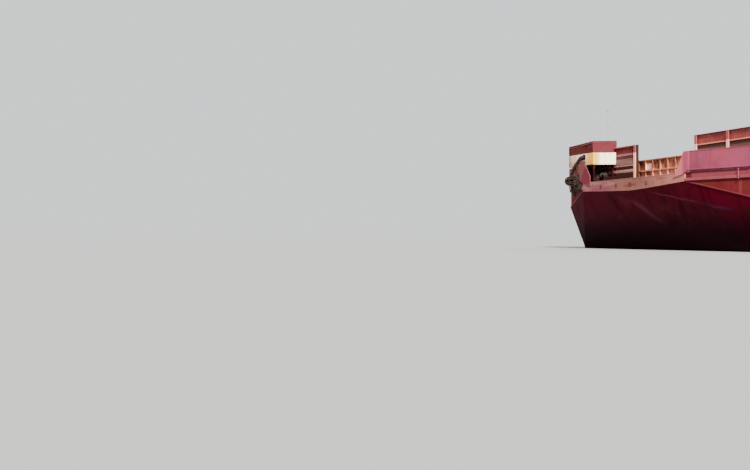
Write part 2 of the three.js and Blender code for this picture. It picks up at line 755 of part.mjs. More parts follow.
addPart('centre_panel', centrePanel(), COLOURS.panel);
addPart('hood_frame', hoodFrame(), COLOURS.dark);
addPart('hood_skirt', hoodSkirt(), COLOURS.hoodCream);
addPart('hood_roof', hoodRoof(), COLOURS.hoodRed);
addPart('hood_brace', hoodBrace(), COLOURS.dark);
addPart('light_pole', lightPole(), COLOURS.pale);
addPart('winch_bed', winchBed(), COLOURS.dark);
addPart('winch_case', winchCase(), COLOURS.grey);
addPart('winch_drum', winchDrum(), COLOURS.grey);
addPart('mooring_cleat', mooringCleat(), COLOURS.dark);
addPart('mooring_turns', mooringTurns(), COLOURS.rope);
addPart('bitt_bow', bitt(215, 1030, true), COLOURS.dark);
for (const [number, aft] of [700, 4572, 7900].entries()) {
  const name = `bitt_side_${number + 1}`;
  addPair(name, bitt(aft, 1178, false), COLOURS.dark);
}
addPair('bitt_stern', bitt(8980, 850, true), COLOURS.dark);
addPart('hatch_coaming_fore', hatchCoaming(HATCHES.fore), COLOURS.deck);
addPart('hatch_lid_fore', hatchLid(HATCHES.fore), COLOURS.deck);
addPart('hatch_coaming_aft', hatchCoaming(HATCHES.aft), COLOURS.deck);
addPart('hatch_lid_aft', hatchLid(HATCHES.aft), COLOURS.deck);

export default barge;
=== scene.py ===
import json
import random
from functools import reduce
from math import atan2, cos, pi, radians, sin

import bmesh
import bpy
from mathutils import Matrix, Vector


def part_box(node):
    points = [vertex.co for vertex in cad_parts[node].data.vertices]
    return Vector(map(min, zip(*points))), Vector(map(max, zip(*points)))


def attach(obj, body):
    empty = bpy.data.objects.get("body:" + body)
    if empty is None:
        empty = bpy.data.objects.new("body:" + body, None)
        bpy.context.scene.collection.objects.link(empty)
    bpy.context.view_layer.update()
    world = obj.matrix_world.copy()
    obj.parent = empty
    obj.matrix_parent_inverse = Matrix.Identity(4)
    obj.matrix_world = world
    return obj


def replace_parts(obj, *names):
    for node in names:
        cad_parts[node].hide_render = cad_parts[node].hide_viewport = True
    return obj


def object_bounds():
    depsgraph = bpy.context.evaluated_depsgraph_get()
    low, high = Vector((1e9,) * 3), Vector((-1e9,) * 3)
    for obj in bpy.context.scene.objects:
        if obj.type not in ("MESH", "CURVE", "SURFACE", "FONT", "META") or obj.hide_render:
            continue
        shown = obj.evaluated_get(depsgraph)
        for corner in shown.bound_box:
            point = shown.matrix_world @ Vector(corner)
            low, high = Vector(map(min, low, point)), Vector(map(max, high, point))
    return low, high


# A flat-top river barge, as a 1:10 model, afloat at its light draught.
# Metres; +X to the bow, +Y to port, +Z up. 0.1 here stands for one metre of the full-size barge.
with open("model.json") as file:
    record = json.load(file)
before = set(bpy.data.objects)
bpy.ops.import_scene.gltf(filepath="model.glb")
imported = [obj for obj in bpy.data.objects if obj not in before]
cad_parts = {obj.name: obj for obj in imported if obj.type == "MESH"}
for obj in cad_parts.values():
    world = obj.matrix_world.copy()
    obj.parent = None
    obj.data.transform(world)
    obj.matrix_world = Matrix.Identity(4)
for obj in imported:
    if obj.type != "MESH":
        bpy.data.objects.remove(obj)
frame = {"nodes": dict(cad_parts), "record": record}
cad_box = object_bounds()

BOW_X = cad_box[1][0]
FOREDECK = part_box("bow_section")[1][2]
DECK_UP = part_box("midbody")[1][2] - FOREDECK
WATERLINE = 0.085

# Camera: the eye is about a metre over the water, ahead of the bow and well to port
CAMERA_AHEAD = 3.735
CAMERA_PORT = 6.795
CAMERA_Z = 0.189
CAMERA_TURN = atan2(0.2706, 0.963)
LENS = 52.27
FLOOR_HALF = 160.0

# Share of the light that weathered paint gives back, next to clean cream paint
SHADE = 0.44

FRONT = Vector((1, 0, 0))
PORT = Vector((0, 1, 0))
UP = Vector((0, 0, 1))
SIDES = ((1, "port"), (-1, "starboard"))
SQUARE = ((-1, -1), (1, -1), (1, 1), (-1, 1))

rng = random.Random(11)


def at(aft, y, up):
    """A point by its distance aft of the bow, to port, and over the foredeck."""
    return Vector((BOW_X - aft, y, FOREDECK + up))


def mirrored(side, points):
    """Points given for the port side, taken to port (1) or to starboard (-1)."""
    return [at(aft, side * y, up) for aft, y, up in points]


def span(low, high, count):
    return [low + (high - low) * k / (count - 1) for k in range(count)]


def circle(count, extra=0):
    """Evenly spread angles of a full turn; one extra comes back to the start."""
    return [2 * pi * k / count for k in range(count + extra)]


def add_object(name, data):
    made = bpy.data.objects.new(name, data)
    bpy.context.scene.collection.objects.link(made)
    return made


# Camera, floor and light

def add_camera():
    data = bpy.data.cameras.new("camera")
    data.sensor_width = 36.0
    data.lens = LENS
    data.clip_start = 0.05
    data.clip_end = 400.0
    camera = add_object("camera", data)
    camera.location = (BOW_X + CAMERA_AHEAD, CAMERA_PORT, CAMERA_Z)
    camera.rotation_euler = (radians(90), 0, pi - CAMERA_TURN)
    bpy.context.scene.camera = camera


def add_floor():
    mesh = bpy.data.meshes.new("floor")
    corners = [(x * FLOOR_HALF, y * FLOOR_HALF, WATERLINE) for x, y in SQUARE]
    mesh.from_pydata(corners, [], [(0, 1, 2, 3)])
    floor = add_object("floor", mesh)
    material = bpy.data.materials.new("floor")
    material.use_nodes = True
    shader = material.node_tree.nodes["Principled BSDF"]
    shader.inputs["Base Color"].default_value = (0.3, 0.3, 0.3, 1)
    shader.inputs["Roughness"].default_value = 0.9
    mesh.materials.append(material)


def add_light():
    data = bpy.data.lights.new("key", "SUN")
    data.energy = 13.6
    data.angle = radians(9)
    data.color = (1.0, 0.97, 0.92)
    to_light = Vector((0.2, 0.87, 0.6))
    add_object("key", data).rotation_euler = to_light.to_track_quat("Z", "Y").to_euler()
    world = bpy.data.worlds.new("studio")
    bpy.context.scene.world = world
    world.use_nodes = True
    back = world.node_tree.nodes["Background"]
    back.inputs["Color"].default_value = (0.88, 0.9, 0.92, 1)
    back.inputs["Strength"].default_value = 1.25


add_camera()
add_floor()
add_light()


# Materials by name
MATERIALS = {}


class Coat:
    """A painted surface built up in layers, each a colour and a roughness laid over a mask."""

    def __init__(self, name, colour, second, spread, rough):
        MATERIALS[name] = bpy.data.materials.new(name)
        MATERIALS[name].use_nodes = True
        self.tree = MATERIALS[name].node_tree
        self.place = self.node("TexCoord")["Object"]
        self.normal = self.node("NewGeometry")["Normal"]
        self.x, self.y, self.z = self.node("SeparateXYZ", [self.place])
        self.nx, self.ny, self.nz = self.node("SeparateXYZ", [self.normal])
        self.colour = self.blend(self.patches(spread, 6, 0, 0.35, 0.65), colour, second)
        self.rough = self.ramp(self.noise(14, 5), 0.3, 0.7, rough - 0.12, rough + 0.12)
        self.height = None

    def feed(self, node, inputs):
        """Link or set inputs of a node, given in their order or by key."""
        for key, value in inputs.items() if isinstance(inputs, dict) else enumerate(inputs):
            socket = node.inputs[key]
            if isinstance(value, bpy.types.NodeSocket):
                self.tree.links.new(value, socket)
            else:
                socket.default_value = (*value, 1) if socket.type == "RGBA" else value

    def node(self, kind, inputs=(), **settings):
        """The outputs of a new node."""
        node = self.tree.nodes.new("ShaderNode" + kind)
        for key, value in settings.items():
            setattr(node, key, value)
        self.feed(node, inputs)
        return node.outputs

    def math(self, operation, *values):
        return self.node("Math", values, operation=operation)[0]

    def fold(self, operation, *values):
        return reduce(lambda one, two: self.math(operation, one, two), values)

    def times(self, *values):
        return self.fold("MULTIPLY", *values)

    def plus(self, *values):
        return self.fold("ADD", *values)

    def apart(self, value, other):
        return self.math("ABSOLUTE", self.math("SUBTRACT", value, other))

    def far(self, *pairs):
        """Distance from a point, given as pairs of an axis and its value there."""
        squares = [self.math("POWER", self.math("SUBTRACT", *pair), 2.0) for pair in pairs]
        return self.math("POWER", self.plus(*squares), 0.5)

    def ramp(self, value, low, high, to_low=0, to_high=1.0):
        return self.node("MapRange", (value, low, high, to_low, to_high),
                         interpolation_type="SMOOTHSTEP")[0]

    def fade(self, value, low, high):
        return self.ramp(value, low, high, 1.0, 0)

    def within(self, value, low, high, soft):
        return self.times(self.ramp(value, low - soft, low + soft),
                          self.fade(value, high - soft, high + soft))

    def rise(self, low, high, to_low=0, to_high=1.0):
        """Ramp between two heights over the foredeck."""
        return self.ramp(self.z, FOREDECK + low, FOREDECK + high, to_low, to_high)

    def heights(self, low, high, soft):
        """Mask of what lies between two heights over the foredeck."""
        return self.within(self.z, FOREDECK + low, FOREDECK + high, soft)

    def blend(self, mask, under, over, way="MIX"):
        return self.node("Mix", {0: mask, 6: under, 7: over}, data_type="RGBA", blend_type=way)[2]

    def noise(self, scale, detail, shift=0, stretch=(1, 1, 1), twist=0):
        shifts = (shift, shift * 0.7, shift * 1.3)
        place = self.node("VectorMath", [self.place, stretch, shifts], operation="MULTIPLY_ADD")[0]
        return self.node("TexNoise", {"Vector": place, "Scale": scale, "Detail": detail,
                                      "Roughness": 0.6, "Distortion": twist})["Fac"]

    def patches(self, scale, detail, shift, low, high, most=1.0, **noise):
        """Mask in patches: nothing where the noise is at low, and most of it at high."""
        return self.ramp(self.noise(scale, detail, shift, **noise), low, high, 0, most)

    def edges(self, radius):
        """Mask of the outer edges and of the corners between plates."""
        round_off = self.node("Bevel", {"Radius": radius}, samples=4)[0]
        dot = self.node("VectorMath", [round_off, self.normal], operation="DOT_PRODUCT")["Value"]
        return self.fade(dot, 0.93, 0.995)

    def blot(self, y, z, radius):
        """Ragged round spot on a face that looks forward."""
        far = self.far((self.y, y), (self.z, z))
        ragged = self.plus(far, self.times(self.noise(60, 4, y), radius))
        return self.fade(ragged, radius, radius * 1.9)

    def lay(self, colour, rough, *masks):
        """Lay a colour and a roughness over the coat, as far as every mask lets it."""
        mask = self.times(*masks)
        self.colour = self.blend(mask, self.colour, colour)
        self.rough = self.node("Mix", {0: mask, 2: self.rough, 3: rough}, data_type="FLOAT")[0]

    def raise_by(self, value, amount):
        step = self.times(value, amount)
        self.height = step if self.height is None else self.plus(self.height, step)

    def rust(self, amount, scale, colour=(0.16, 0.045, 0.018)):
        mask = self.patches(scale, 9, 3.0, 0.72 - amount, 0.8 - amount * 0.8, twist=0.6)
        self.lay(colour, 0.85, mask)
        self.raise_by(mask, 0.0006)

    def streaks(self, strength, colour, scale, shift=7.0, below=None):
        """Vertical runs of rust or dirt, fading down from a height where one is given."""
        masks = [self.patches(scale, 5, shift, 0.52, 0.74, stretch=(1, 1, 0.06)),
                 self.patches(2.2, 3, shift + 2, 0.4, 0.62)]
        if below:
            masks.append(self.rise(*below))
        self.lay(colour, 0.8, *masks, strength)

    def finish(self, grain=0, soften=0.003, metallic=0, gloss=0.25, shade=SHADE):
        if grain:
            self.raise_by(self.noise(90.0, 6, 1.0), grain)
        relief = {"Strength": 0.8, "Distance": 1.0, "Height": self.height}
        if soften:
            relief["Normal"] = self.node("Bevel", {"Radius": soften}, samples=4)[0]
        self.feed(self.tree.nodes["Principled BSDF"], {
            "Base Color": self.blend(1.0, self.colour, (shade, shade, shade), "MULTIPLY"),
            "Roughness": self.rough,
            "Metallic": metallic,
            "Specular IOR Level": gloss,
            "Normal": self.node("Bump", relief)[0],
        })


DARK_RUST = (0.05, 0.014, 0.01)
GRIME = (0.02, 0.012, 0.01)
SCUM = (0.03, 0.022, 0.012)
PLATE_RUN = 0.6
FRAME_SPACING = 0.12
DRAIN_Y = 1.122


def hull_material():
    coat = Coat("hull_paint", (0.25, 0.028, 0.034), (0.17, 0.018, 0.024), 2.0, 0.5)
    # Brown-red bow quarters and sides, with rust showing through
    side = coat.ramp(coat.nz, -0.05, -0.02)
    coat.lay((0.22, 0.042, 0.035), 0.65, side, coat.patches(3.5, 6, 4, 0.4, 0.62))
    under = coat.fade(coat.nz, -0.05, -0.02)
    rake = coat.times(under, coat.ramp(coat.x, BOW_X - 1.2, BOW_X - 1.0))
    # Faces turned down on the rake are painted a darker crimson: partly the rake's own paint, partly
    # painted shade
    coat.lay((0.13, 0.007, 0.019), 0.5, rake)
    # A brighter, purer red is laid over the upper knuckle of the port rake
    ragged = coat.times(coat.math("SUBTRACT", coat.noise(5, 5, 13), 0.5), 0.05)
    over = coat.plus(coat.z, coat.times(coat.y, 0.165), ragged)
    coat.lay((0.17, 0.004, 0.022), 0.45, coat.ramp(over, 0.495, 0.53),
             coat.ramp(coat.y, 0.2, 0.7), rake)
    # Rubbed patches, darker runs, and one wide painted highlight down the rake
    rubbed = coat.patches(4.0, 7, 9, 0.5, 0.72, stretch=(1, 1, 2.0))
    coat.lay((0.2, 0.034, 0.05), 0.62, rubbed, rake, 0.6)
    runs = coat.patches(9, 6, 31, 0.5, 0.7, stretch=(1, 1, 0.2))
    coat.lay((0.02, 0, 0.002), 0.5, runs, rake, 0.6)
    # Painted highlight: a soft pale streak down the rake
    off_line = coat.apart(coat.plus(coat.y, coat.times(coat.z, 1.6), ragged), 0.655)
    coat.lay((0.22, 0.06, 0.085), 0.7, coat.fade(off_line, 0.015, 0.07),
             coat.within(coat.z, 0.27, 0.42, 0.03), rake, 0.7)
    # Painted highlight along the knuckle
    coat.lay((0.3, 0.07, 0.09), 0.6, coat.within(over, 0.512, 0.52, 0.005),
             coat.within(coat.y, 0.28, 0.74, 0.08), rake, 0.6)
    # Top strip of the bow quarters, between the wall and the fender, faded like the wall
    faded = coat.times(coat.heights(-0.036, 0.01, 0.001),
                       coat.within(coat.x, BOW_X - 0.16, BOW_X - 0.014, 0.001), side)
    coat.lay((0.38, 0.075, 0.1), 0.6, faded)
    off_middle = coat.math("ABSOLUTE", coat.y)
    coat.lay((0.12, 0.02, 0.02), 0.7, faded, coat.ramp(off_middle, 0.765, 0.745), 0.8)
    # Pale drip under the drain pipe of each quarter
    coat.lay((0.4, 0.15, 0.12), 0.6, coat.fade(coat.apart(off_middle, DRAIN_Y), 0.002, 0.014),
             coat.heights(-0.15, -0.05, 0.04), side, 0.28)
    # Painted shade: the facet outside the bilge crease is darkened, since it faces the light
    coat.lay((0.05, 0, 0.004), 0.5, coat.ramp(coat.ny, 0.08, 0.16), rake, 0.25)
    # Painted bluish highlight where the knuckle runs out
    coat.lay((0.1, 0.03, 0.09), 0.6, coat.within(over, 0.508, 0.525, 0.008),
             coat.within(coat.y, 0.8, 1.02, 0.06), rake, 0.5)
    coat.rust(0.1, 7.0, DARK_RUST)
    coat.streaks(0.55, DARK_RUST, 22.0, 5.0)
    # Painted shade towards the water, with scum and a wet line
    coat.lay((0.016, 0.002, 0.006), 0.45, coat.fade(coat.z, 0.17, 0.46), rake, 0.96)
    wet = coat.plus(coat.z, coat.times(coat.noise(9, 5, 6), 0.03))
    coat.lay(SCUM, 0.45, coat.ramp(wet, 0.125, 0.15, 0.85, 0), coat.ramp(rake, 0, 1.0, 1.0, 0.15))
    # Deck plates: trodden rust, coal dust and old paint
    top = coat.ramp(coat.nz, 0.6, 0.8)
    coat.lay((0.19, 0.085, 0.06), 0.85, top)
    coat.lay((0.085, 0.062, 0.052), 0.9, top, coat.patches(1.6, 10, 12, 0.36, 0.68), 0.8)
    coat.lay((0.075, 0.04, 0.03), 0.9, top, coat.patches(26, 9, 17, 0.45, 0.66), 0.55)
    coat.lay((0.34, 0.12, 0.085), 0.7, top, coat.patches(7, 10, 15, 0.55, 0.74), 0.5)
    # Butts of the plates, and plating pulled in between its frames
    wave = coat.math("FRACT", coat.times(coat.plus(coat.x, 10.0), 1 / PLATE_RUN))
    butt = coat.fade(coat.apart(wave, 0.5), 0.003, 0.006)
    coat.raise_by(coat.times(butt, coat.fade(under, 0.2, 0.8)), 0.0015)
    ribs = coat.math("SINE", coat.times(coat.x, 2 * pi / FRAME_SPACING))
    coat.raise_by(coat.times(ribs, side), 0.0006)
    coat.raise_by(coat.noise(3.0, 3, 20), 0.006)
    coat.finish(0.0006, 0.018, gloss=0.006)


CHOCKS = (-0.42, -0.19, 0.01, 0.23)
CHOCK_UP = -0.042


def band_material():
    coat = Coat("band_paint", (0.5, 0.18, 0.135), (0.42, 0.14, 0.11), 6.0, 0.6)
    coat.lay((0.4, 0.07, 0.115), 0.6, coat.ramp(coat.y, -0.1, -0.4, 0, 0.85))
    coat.lay((0.86, 0.3, 0.23), 0.6, coat.ramp(coat.y, 0.1, 0.6, 0, 0.85))
    rubbed = coat.noise(16, 6, 3, stretch=(1, 0.12, 1))
    coat.lay((0.68, 0.33, 0.27), 0.55, coat.ramp(rubbed, 0.53, 0.72, 0, 0.8))
    coat.lay((0.25, 0.06, 0.055), 0.75, coat.ramp(rubbed, 0.46, 0.32, 0, 0.75))
    coat.rust(0.12, 14.0)
    coat.streaks(0.6, (0.2, 0.05, 0.04), 40.0)
    coat.lay((0.7, 0.38, 0.32), 0.5, coat.edges(0.006), 0.4)
    front = coat.ramp(coat.nx, -0.2, 0.2)
    for y in CHOCKS:
        spot = coat.blot(y, FOREDECK + CHOCK_UP - 0.003, 0.017)
        coat.lay((0.12, 0.025, 0.022), 0.8, spot, front, 0.8)
    coat.raise_by(rubbed, 0.0015)
    coat.finish(0.0005, 0.004, gloss=0.15)


def wall_material():
    coat = Coat("wall_paint", (0.5, 0.085, 0.16), (0.4, 0.07, 0.14), 5.0, 0.55)
    coat.lay((0.54, 0.075, 0.095), 0.5, coat.patches(9, 5, 5, 0.56, 0.66, 0.8))
    coat.lay((0.3, 0.05, 0.09), 0.6, coat.patches(4, 6, 25, 0.5, 0.66, 0.6))
    # Starboard is browner and dirtier
    starboard = coat.ramp(coat.y, -0.3, -0.5)
    coat.lay((0.36, 0.1, 0.07), 0.7, starboard, 0.8)
    # Slanted end plate of the port wall, painted paler, and purple next to the fold
    front = coat.times(coat.ramp(coat.x, BOW_X - 0.008, BOW_X - 0.006), coat.rise(-0.05, 0),
                       coat.ramp(coat.nx, 0.972, 0.985))
    coat.lay((1.16, 0.3, 0.29), 0.6, front, coat.ramp(coat.y, 0.3, 0.5))
    coat.lay((0.8, 0.1, 0.23), 0.6, front, coat.ramp(coat.y, 0.672, 0.705))
    # Redder touched-up patches high on the port wall
    for low, high in ((0.745, 0.835), (0.975, 1.015)):
        coat.lay((0.6, 0.075, 0.09), 0.55, coat.within(coat.y, low, high, 0.015),
                 coat.heights(0.078, 0.13, 0.015), coat.patches(14, 5, 15, 0.38, 0.55), 0.75)
    # End plate to starboard: brown, with a crimson foot
    slant = coat.math("SUBTRACT", coat.y, coat.times(coat.z, 0.75))
    foot = coat.times(coat.ramp(slant, -1.2, -1.18), coat.rise(0.09, 0.13, 1.0, 0))
    coat.lay((0.28, 0.075, 0.055), 0.6, front, starboard, 0.8)
    coat.lay((0.26, 0.01, 0.036), 0.55, front, foot, starboard)
    coat.rust(0.09, 12.0)
    coat.streaks(0.6, (0.24, 0.05, 0.045), 34.0, below=(-0.1, 0.05))
    coat.lay((0.66, 0.18, 0.22), 0.5, coat.edges(0.004), 0.35)
    coat.lay(DARK_RUST, 0.85, coat.ramp(coat.nx, -0.3, -0.6), 0.7)
    coat.raise_by(coat.noise(7, 3, 8), 0.004)
    coat.finish(0.0005, gloss=0.15)


def strake_material(name, colour, second, worn):
    coat = Coat(name, colour, second, 5.0, 0.55)
    rubbed = coat.noise(12, 6, 3, stretch=(0.15, 0.15, 1))
    coat.lay(worn, 0.5, coat.ramp(rubbed, 0.55, 0.75, 0, 0.8))
    coat.lay(DARK_RUST, 0.75, coat.ramp(rubbed, 0.42, 0.3, 0, 0.8))
    coat.rust(0.14, 16.0)
    coat.lay(worn, 0.45, coat.edges(0.005), 0.45)
    coat.raise_by(rubbed, 0.002)
    coat.finish(0.0005, 0.004, gloss=0.05)


POST_LOW, POST_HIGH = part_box("front_boards_port")
POST_HALF = (POST_HIGH[0] - POST_LOW[0]) / 2
BOARD_X = (POST_HIGH[0] + POST_LOW[0]) / 2
PORT_POSTS = (POST_LOW[1] + POST_HALF, (POST_LOW[1] + POST_HIGH[1]) / 2, POST_HIGH[1] - POST_HALF)
STARBOARD_POSTS = (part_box("front_boards_starboard")[1][1] - POST_HALF,)


def board_material(name, red, second, inner_at=None, posts=(), plank=None, bands=(),
                   flaking=0.85):
    """Painted cargo boards; posts are cream up to a worn edge, and bands are colours by height, some
    of them painted highlight and shadow.
    """
    coat = Coat(name, red, second, 7.0, 0.6)
    flaked = coat.noise(18, 7, 6, stretch=(0.5, 0.5, 1), twist=0.4)
    coat.lay((0.54, 0.17, 0.14), 0.55, coat.ramp(flaked, 0.58, 0.66, 0, flaking))
    coat.lay(DARK_RUST, 0.85, coat.ramp(flaked, 0.42, 0.34, 0, flaking))
    coat.rust(0.14 * flaking, 13.0)
    coat.streaks(0.6 * flaking, (0.14, 0.03, 0.02), 38.0, 4.0)
    coat.lay((0.62, 0.23, 0.19), 0.5, coat.edges(0.004), 0.45)
    if plank:
        wood = coat.heights(0.128, 0.197, 0.001)
        coat.lay(plank, 0.85, wood)
        fibre = coat.noise(20, 7, 5, stretch=(1, 0.08, 3))
        coat.lay((0.26, 0.11, 0.09), 0.9, wood, coat.ramp(fibre, 0.45, 0.65, 0, 0.8))
        coat.lay((0.5, 0.26, 0.22), 0.85, wood, coat.ramp(fibre, 0.42, 0.3, 0, 0.7))
        # Painted shadow along the top of the plank, under the channel
        coat.lay((0.1, 0.02, 0.018), 0.9, wood, coat.rise(0.170, 0.178, 0, 0.85))
    for low, high, colour in bands:
        coat.lay(colour, 0.6, coat.heights(low, high, 0.003))
    if posts:
        from_post = coat.fold("MINIMUM", *[coat.apart(coat.y, y) for y in posts])
        post = coat.fade(from_post, 0.0145, 0.0155)
        edge = coat.plus(coat.z, coat.times(coat.noise(40, 5, 3), 0.02))
        low, high = FOREDECK + 0.216, FOREDECK + 0.222
        coat.lay((0.9, 0.19, 0.2), 0.5, post, coat.ramp(edge, low, high), 0.6)
        cream = coat.times(post, coat.fade(edge, low, high))
        coat.lay((1.9, 0.98, 0.62), 0.5, cream)
        coat.lay((2.2, 0.86, 0.8), 0.5, cream,
                 coat.ramp(edge, FOREDECK + 0.188, FOREDECK + 0.196))
        coat.lay((0.7, 0.28, 0.16), 0.8, cream, coat.patches(45, 6, 14, 0.58, 0.66), 0.6)
        coat.lay((0.6, 0.25, 0.15), 0.8, cream, coat.rise(0, 0.09, 0.75, 0),
                 coat.patches(30, 5, 21, 0.4, 0.6))
        # Painted shade on the after half of each post
        coat.lay((0.065, 0.02, 0.011), 0.8, post,
                 coat.ramp(coat.x, BOARD_X + 0.011, BOARD_X + 0.008))
    # Painted shade on the inner faces of the boards
    if inner_at:
        inner = coat.ramp(coat.nx, *inner_at)
    else:
        inner = coat.ramp(coat.times(coat.ny, coat.y), -0.3, -0.8)
    coat.lay((0.035, 0.009, 0.006), 0.9, inner, 0.96)
    if not inner_at:
        # Painted shade, deeper still on the inner faces of the side boards towards the bow
        near_bow = coat.ramp(coat.x, BOW_X - 1.4, BOW_X - 0.8)
        coat.lay((0.022, 0.0018, 0.0007), 0.95, inner, near_bow, 0.97)
    coat.raise_by(coat.noise(9, 3, 8), 0.004)
    coat.raise_by(flaked, 0.0008)
    coat.finish(0.0005, gloss=0.15)


# Hollows of the centre panel that take painted shade
# columns: from y, to y, from height, to height over the foredeck
PANEL_SHADED_HOLLOWS = [
    (-0.470, -0.430, 0.000, 0.150),
    (-0.450, -0.405, 0.092, 0.130),
    (-0.367, -0.300, 0.040, 0.072),
    (-0.278, -0.215, 0.088, 0.134),
]


def panel_material():
    coat = Coat("rusty_plate", (1.0, 0.31, 0.17), (0.78, 0.22, 0.13), 9.0, 0.75)
    coat.lay((1.0, 0.48, 0.32), 0.8, coat.patches(22, 7, 2, 0.52, 0.68, 0.8))
    coat.lay((0.34, 0.09, 0.05), 0.9, coat.patches(15, 7, 9, 0.47, 0.36, 0.85))
    coat.streaks(0.6, (0.14, 0.04, 0.02), 50.0, 3.0)
    # Painted light on the lower bays, which the rail shades
    coat.lay((1.5, 0.56, 0.38), 0.75, coat.rise(0.088, 0.07, 0, 0.6))
    # One worn white patch near the starboard end
    coat.lay((2.2, 1.15, 0.95), 0.6, coat.within(coat.y, -0.352, -0.285, 0.005),
             coat.heights(0.084, 0.128, 0.005), coat.patches(35, 5, 17, 0.3, 0.42))
    # Painted shade in the hollows between the stiffeners
    for low_y, high_y, low, high in PANEL_SHADED_HOLLOWS:
        coat.lay((0.26, 0.065, 0.04), 0.9, coat.within(coat.y, low_y, high_y, 0.008),
                 coat.heights(low, high, 0.008), 0.8)
    coat.lay((0.8, 0.36, 0.22), 0.7, coat.edges(0.004), 0.3)
    coat.lay((0.07, 0.025, 0.018), 0.9, coat.ramp(coat.nx, -0.3, -0.6), 0.8)
    coat.raise_by(coat.noise(30, 7, 5), 0.002)
    coat.finish(0.0008, gloss=0.1)


SKIRT_LOW, SKIRT_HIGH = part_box("hood_skirt")


def cream_material():
    coat = Coat("cream_paint", (1.0, 0.87, 0.68), (0.95, 0.79, 0.58), 5.0, 0.5)
    # The front face is painted darker, partly grime and partly painted shade, most of all low down
    # and outboard
    forward = coat.ramp(coat.nx, 0.5, 0.8)
    coat.lay((0.3, 0.15, 0.1), 0.7, forward,
             coat.ramp(coat.z, SKIRT_HIGH[2], SKIRT_LOW[2], 0.25, 0.7))
    coat.lay((0.22, 0.09, 0.06), 0.8, forward, coat.ramp(coat.y, -0.98, -1.12),
             coat.ramp(coat.noise(12, 6, 9), 0.3, 0.6, 0.35, 0.9))
    # Yellow stain round the corner, wider and brighter on the front
    from_corner = coat.far((coat.x, SKIRT_HIGH[0]), (coat.y, SKIRT_HIGH[1]))
    stained = coat.plus(from_corner, coat.times(coat.noise(20, 5, 3), 0.04))
    coat.lay((0.64, 0.37, 0.05), 0.6, coat.ramp(stained, 0.05, 0.085, 0.95, 0))
    coat.lay((0.86, 0.41, 0.04), 0.6, forward, coat.ramp(stained, 0.09, 0.14, 0.95, 0))
    coat.streaks(0.7, (0.4, 0.2, 0.1), 60.0, 5.0)
    coat.rust(0.05, 20.0, (0.3, 0.12, 0.05))
    # Dirt along the lower edge, and on the folded lips
    low_edge = coat.ramp(coat.z, SKIRT_LOW[2] + 0.003, SKIRT_LOW[2] + 0.012, 0.5, 0)
    coat.lay((0.3, 0.15, 0.09), 0.8, low_edge)
    coat.lay((0.15, 0.09, 0.07), 0.8, coat.ramp(coat.math("ABSOLUTE", coat.nz), 0.5, 0.8), 0.6)
    coat.raise_by(coat.noise(12, 4, 8), 0.003)
    coat.finish(0.0004, shade=1.0)


def red_material():
    coat = Coat("red_paint", (0.28, 0.048, 0.066), (0.22, 0.037, 0.05), 6.0, 0.5)
    # Painted shade on the front face, with darker patches over it
    front = coat.ramp(coat.nx, 0.5, 0.8)
    coat.lay((0.155, 0.013, 0.007), 0.65, front, 0.95)
    coat.lay((0.06, 0.01, 0.01), 0.75, front, coat.patches(14, 6, 4, 0.5, 0.62))
    coat.streaks(0.5, (0.16, 0.025, 0.025), 50.0, 5.0)
    coat.rust(0.08, 16.0)
    coat.lay((0.34, 0.11, 0.1), 0.8, coat.ramp(coat.nz, 0.5, 0.8), 0.6)
    coat.lay((0.6, 0.2, 0.2), 0.45, coat.edges(0.004), 0.4)
    coat.raise_by(coat.noise(12, 4, 8), 0.003)
    coat.finish(0.0004, gloss=0.12)


def dark_material():
    coat = Coat("dark_paint", (0.03, 0.008, 0.008), (0.05, 0.012, 0.012), 12.0, 0.5)
    coat.lay((0.1, 0.022, 0.016), 0.8, coat.patches(24, 7, 2, 0.55, 0.68, 0.8))
    coat.lay((0.12, 0.05, 0.04), 0.4, coat.edges(0.003), 0.35)
    coat.rust(0.1, 25.0, (0.13, 0.035, 0.02))
    coat.finish(0.0006, 0.0025, gloss=0.15)


def grey_material():
    coat = Coat("grey_paint", (0.06, 0.045, 0.038), (0.04, 0.028, 0.024), 14.0, 0.45)
    coat.lay((0.11, 0.04, 0.025), 0.8, coat.patches(22, 7, 2, 0.52, 0.68, 0.8))
    coat.lay((0.2, 0.16, 0.13), 0.35, coat.edges(0.003), 0.4)
    coat.lay(GRIME, 0.3, coat.patches(8, 5, 11, 0.55, 0.7, 0.8))
    coat.finish(0.0005, 0.0025, 0.2, 0.15)


def pale_material():
    coat = Coat("pale_paint", (0.62, 0.62, 0.57), (0.74, 0.74, 0.7), 9.0, 0.45)
    coat.streaks(0.6, (0.3, 0.15, 0.09), 80.0, 5.0)
    coat.rust(0.06, 30.0, (0.25, 0.1, 0.05))
    coat.finish(0.0004, 0.001)


def rope_material():
    coat = Coat("rope", (0.11, 0.06, 0.049), (0.055, 0.03, 0.025), 26.0, 0.85)
    coat.lay((0.28, 0.19, 0.155), 0.9, coat.patches(150, 4, 2, 0.5, 0.7, 0.5))
    coat.lay((0.045, 0.026, 0.022), 0.9, coat.patches(18, 6, 7, 0.46, 0.62, 0.85))
    coat.raise_by(coat.noise(420, 3, 3), 0.0006)
    coat.finish(soften=0, gloss=0.1)


def wire_material():
    coat = Coat("wire", (0.15, 0.035, 0.028), (0.09, 0.02, 0.016), 30.0, 0.6)
    coat.lay((0.22, 0.055, 0.03), 0.8, coat.patches(60, 5, 2, 0.5, 0.65, 0.8))
    coat.lay(GRIME, 0.35, coat.patches(14, 5, 7, 0.55, 0.7, 0.8))
    coat.raise_by(coat.noise(500, 3, 3), 0.0004)
    coat.finish(soften=0, metallic=0.1, gloss=0.2)


BOARD_REDS = (0.34, 0.07, 0.055), (0.25, 0.05, 0.04)
LOOKS_AFT = (-0.3, -0.6)
LOOKS_FORWARD = (0.3, 0.6)
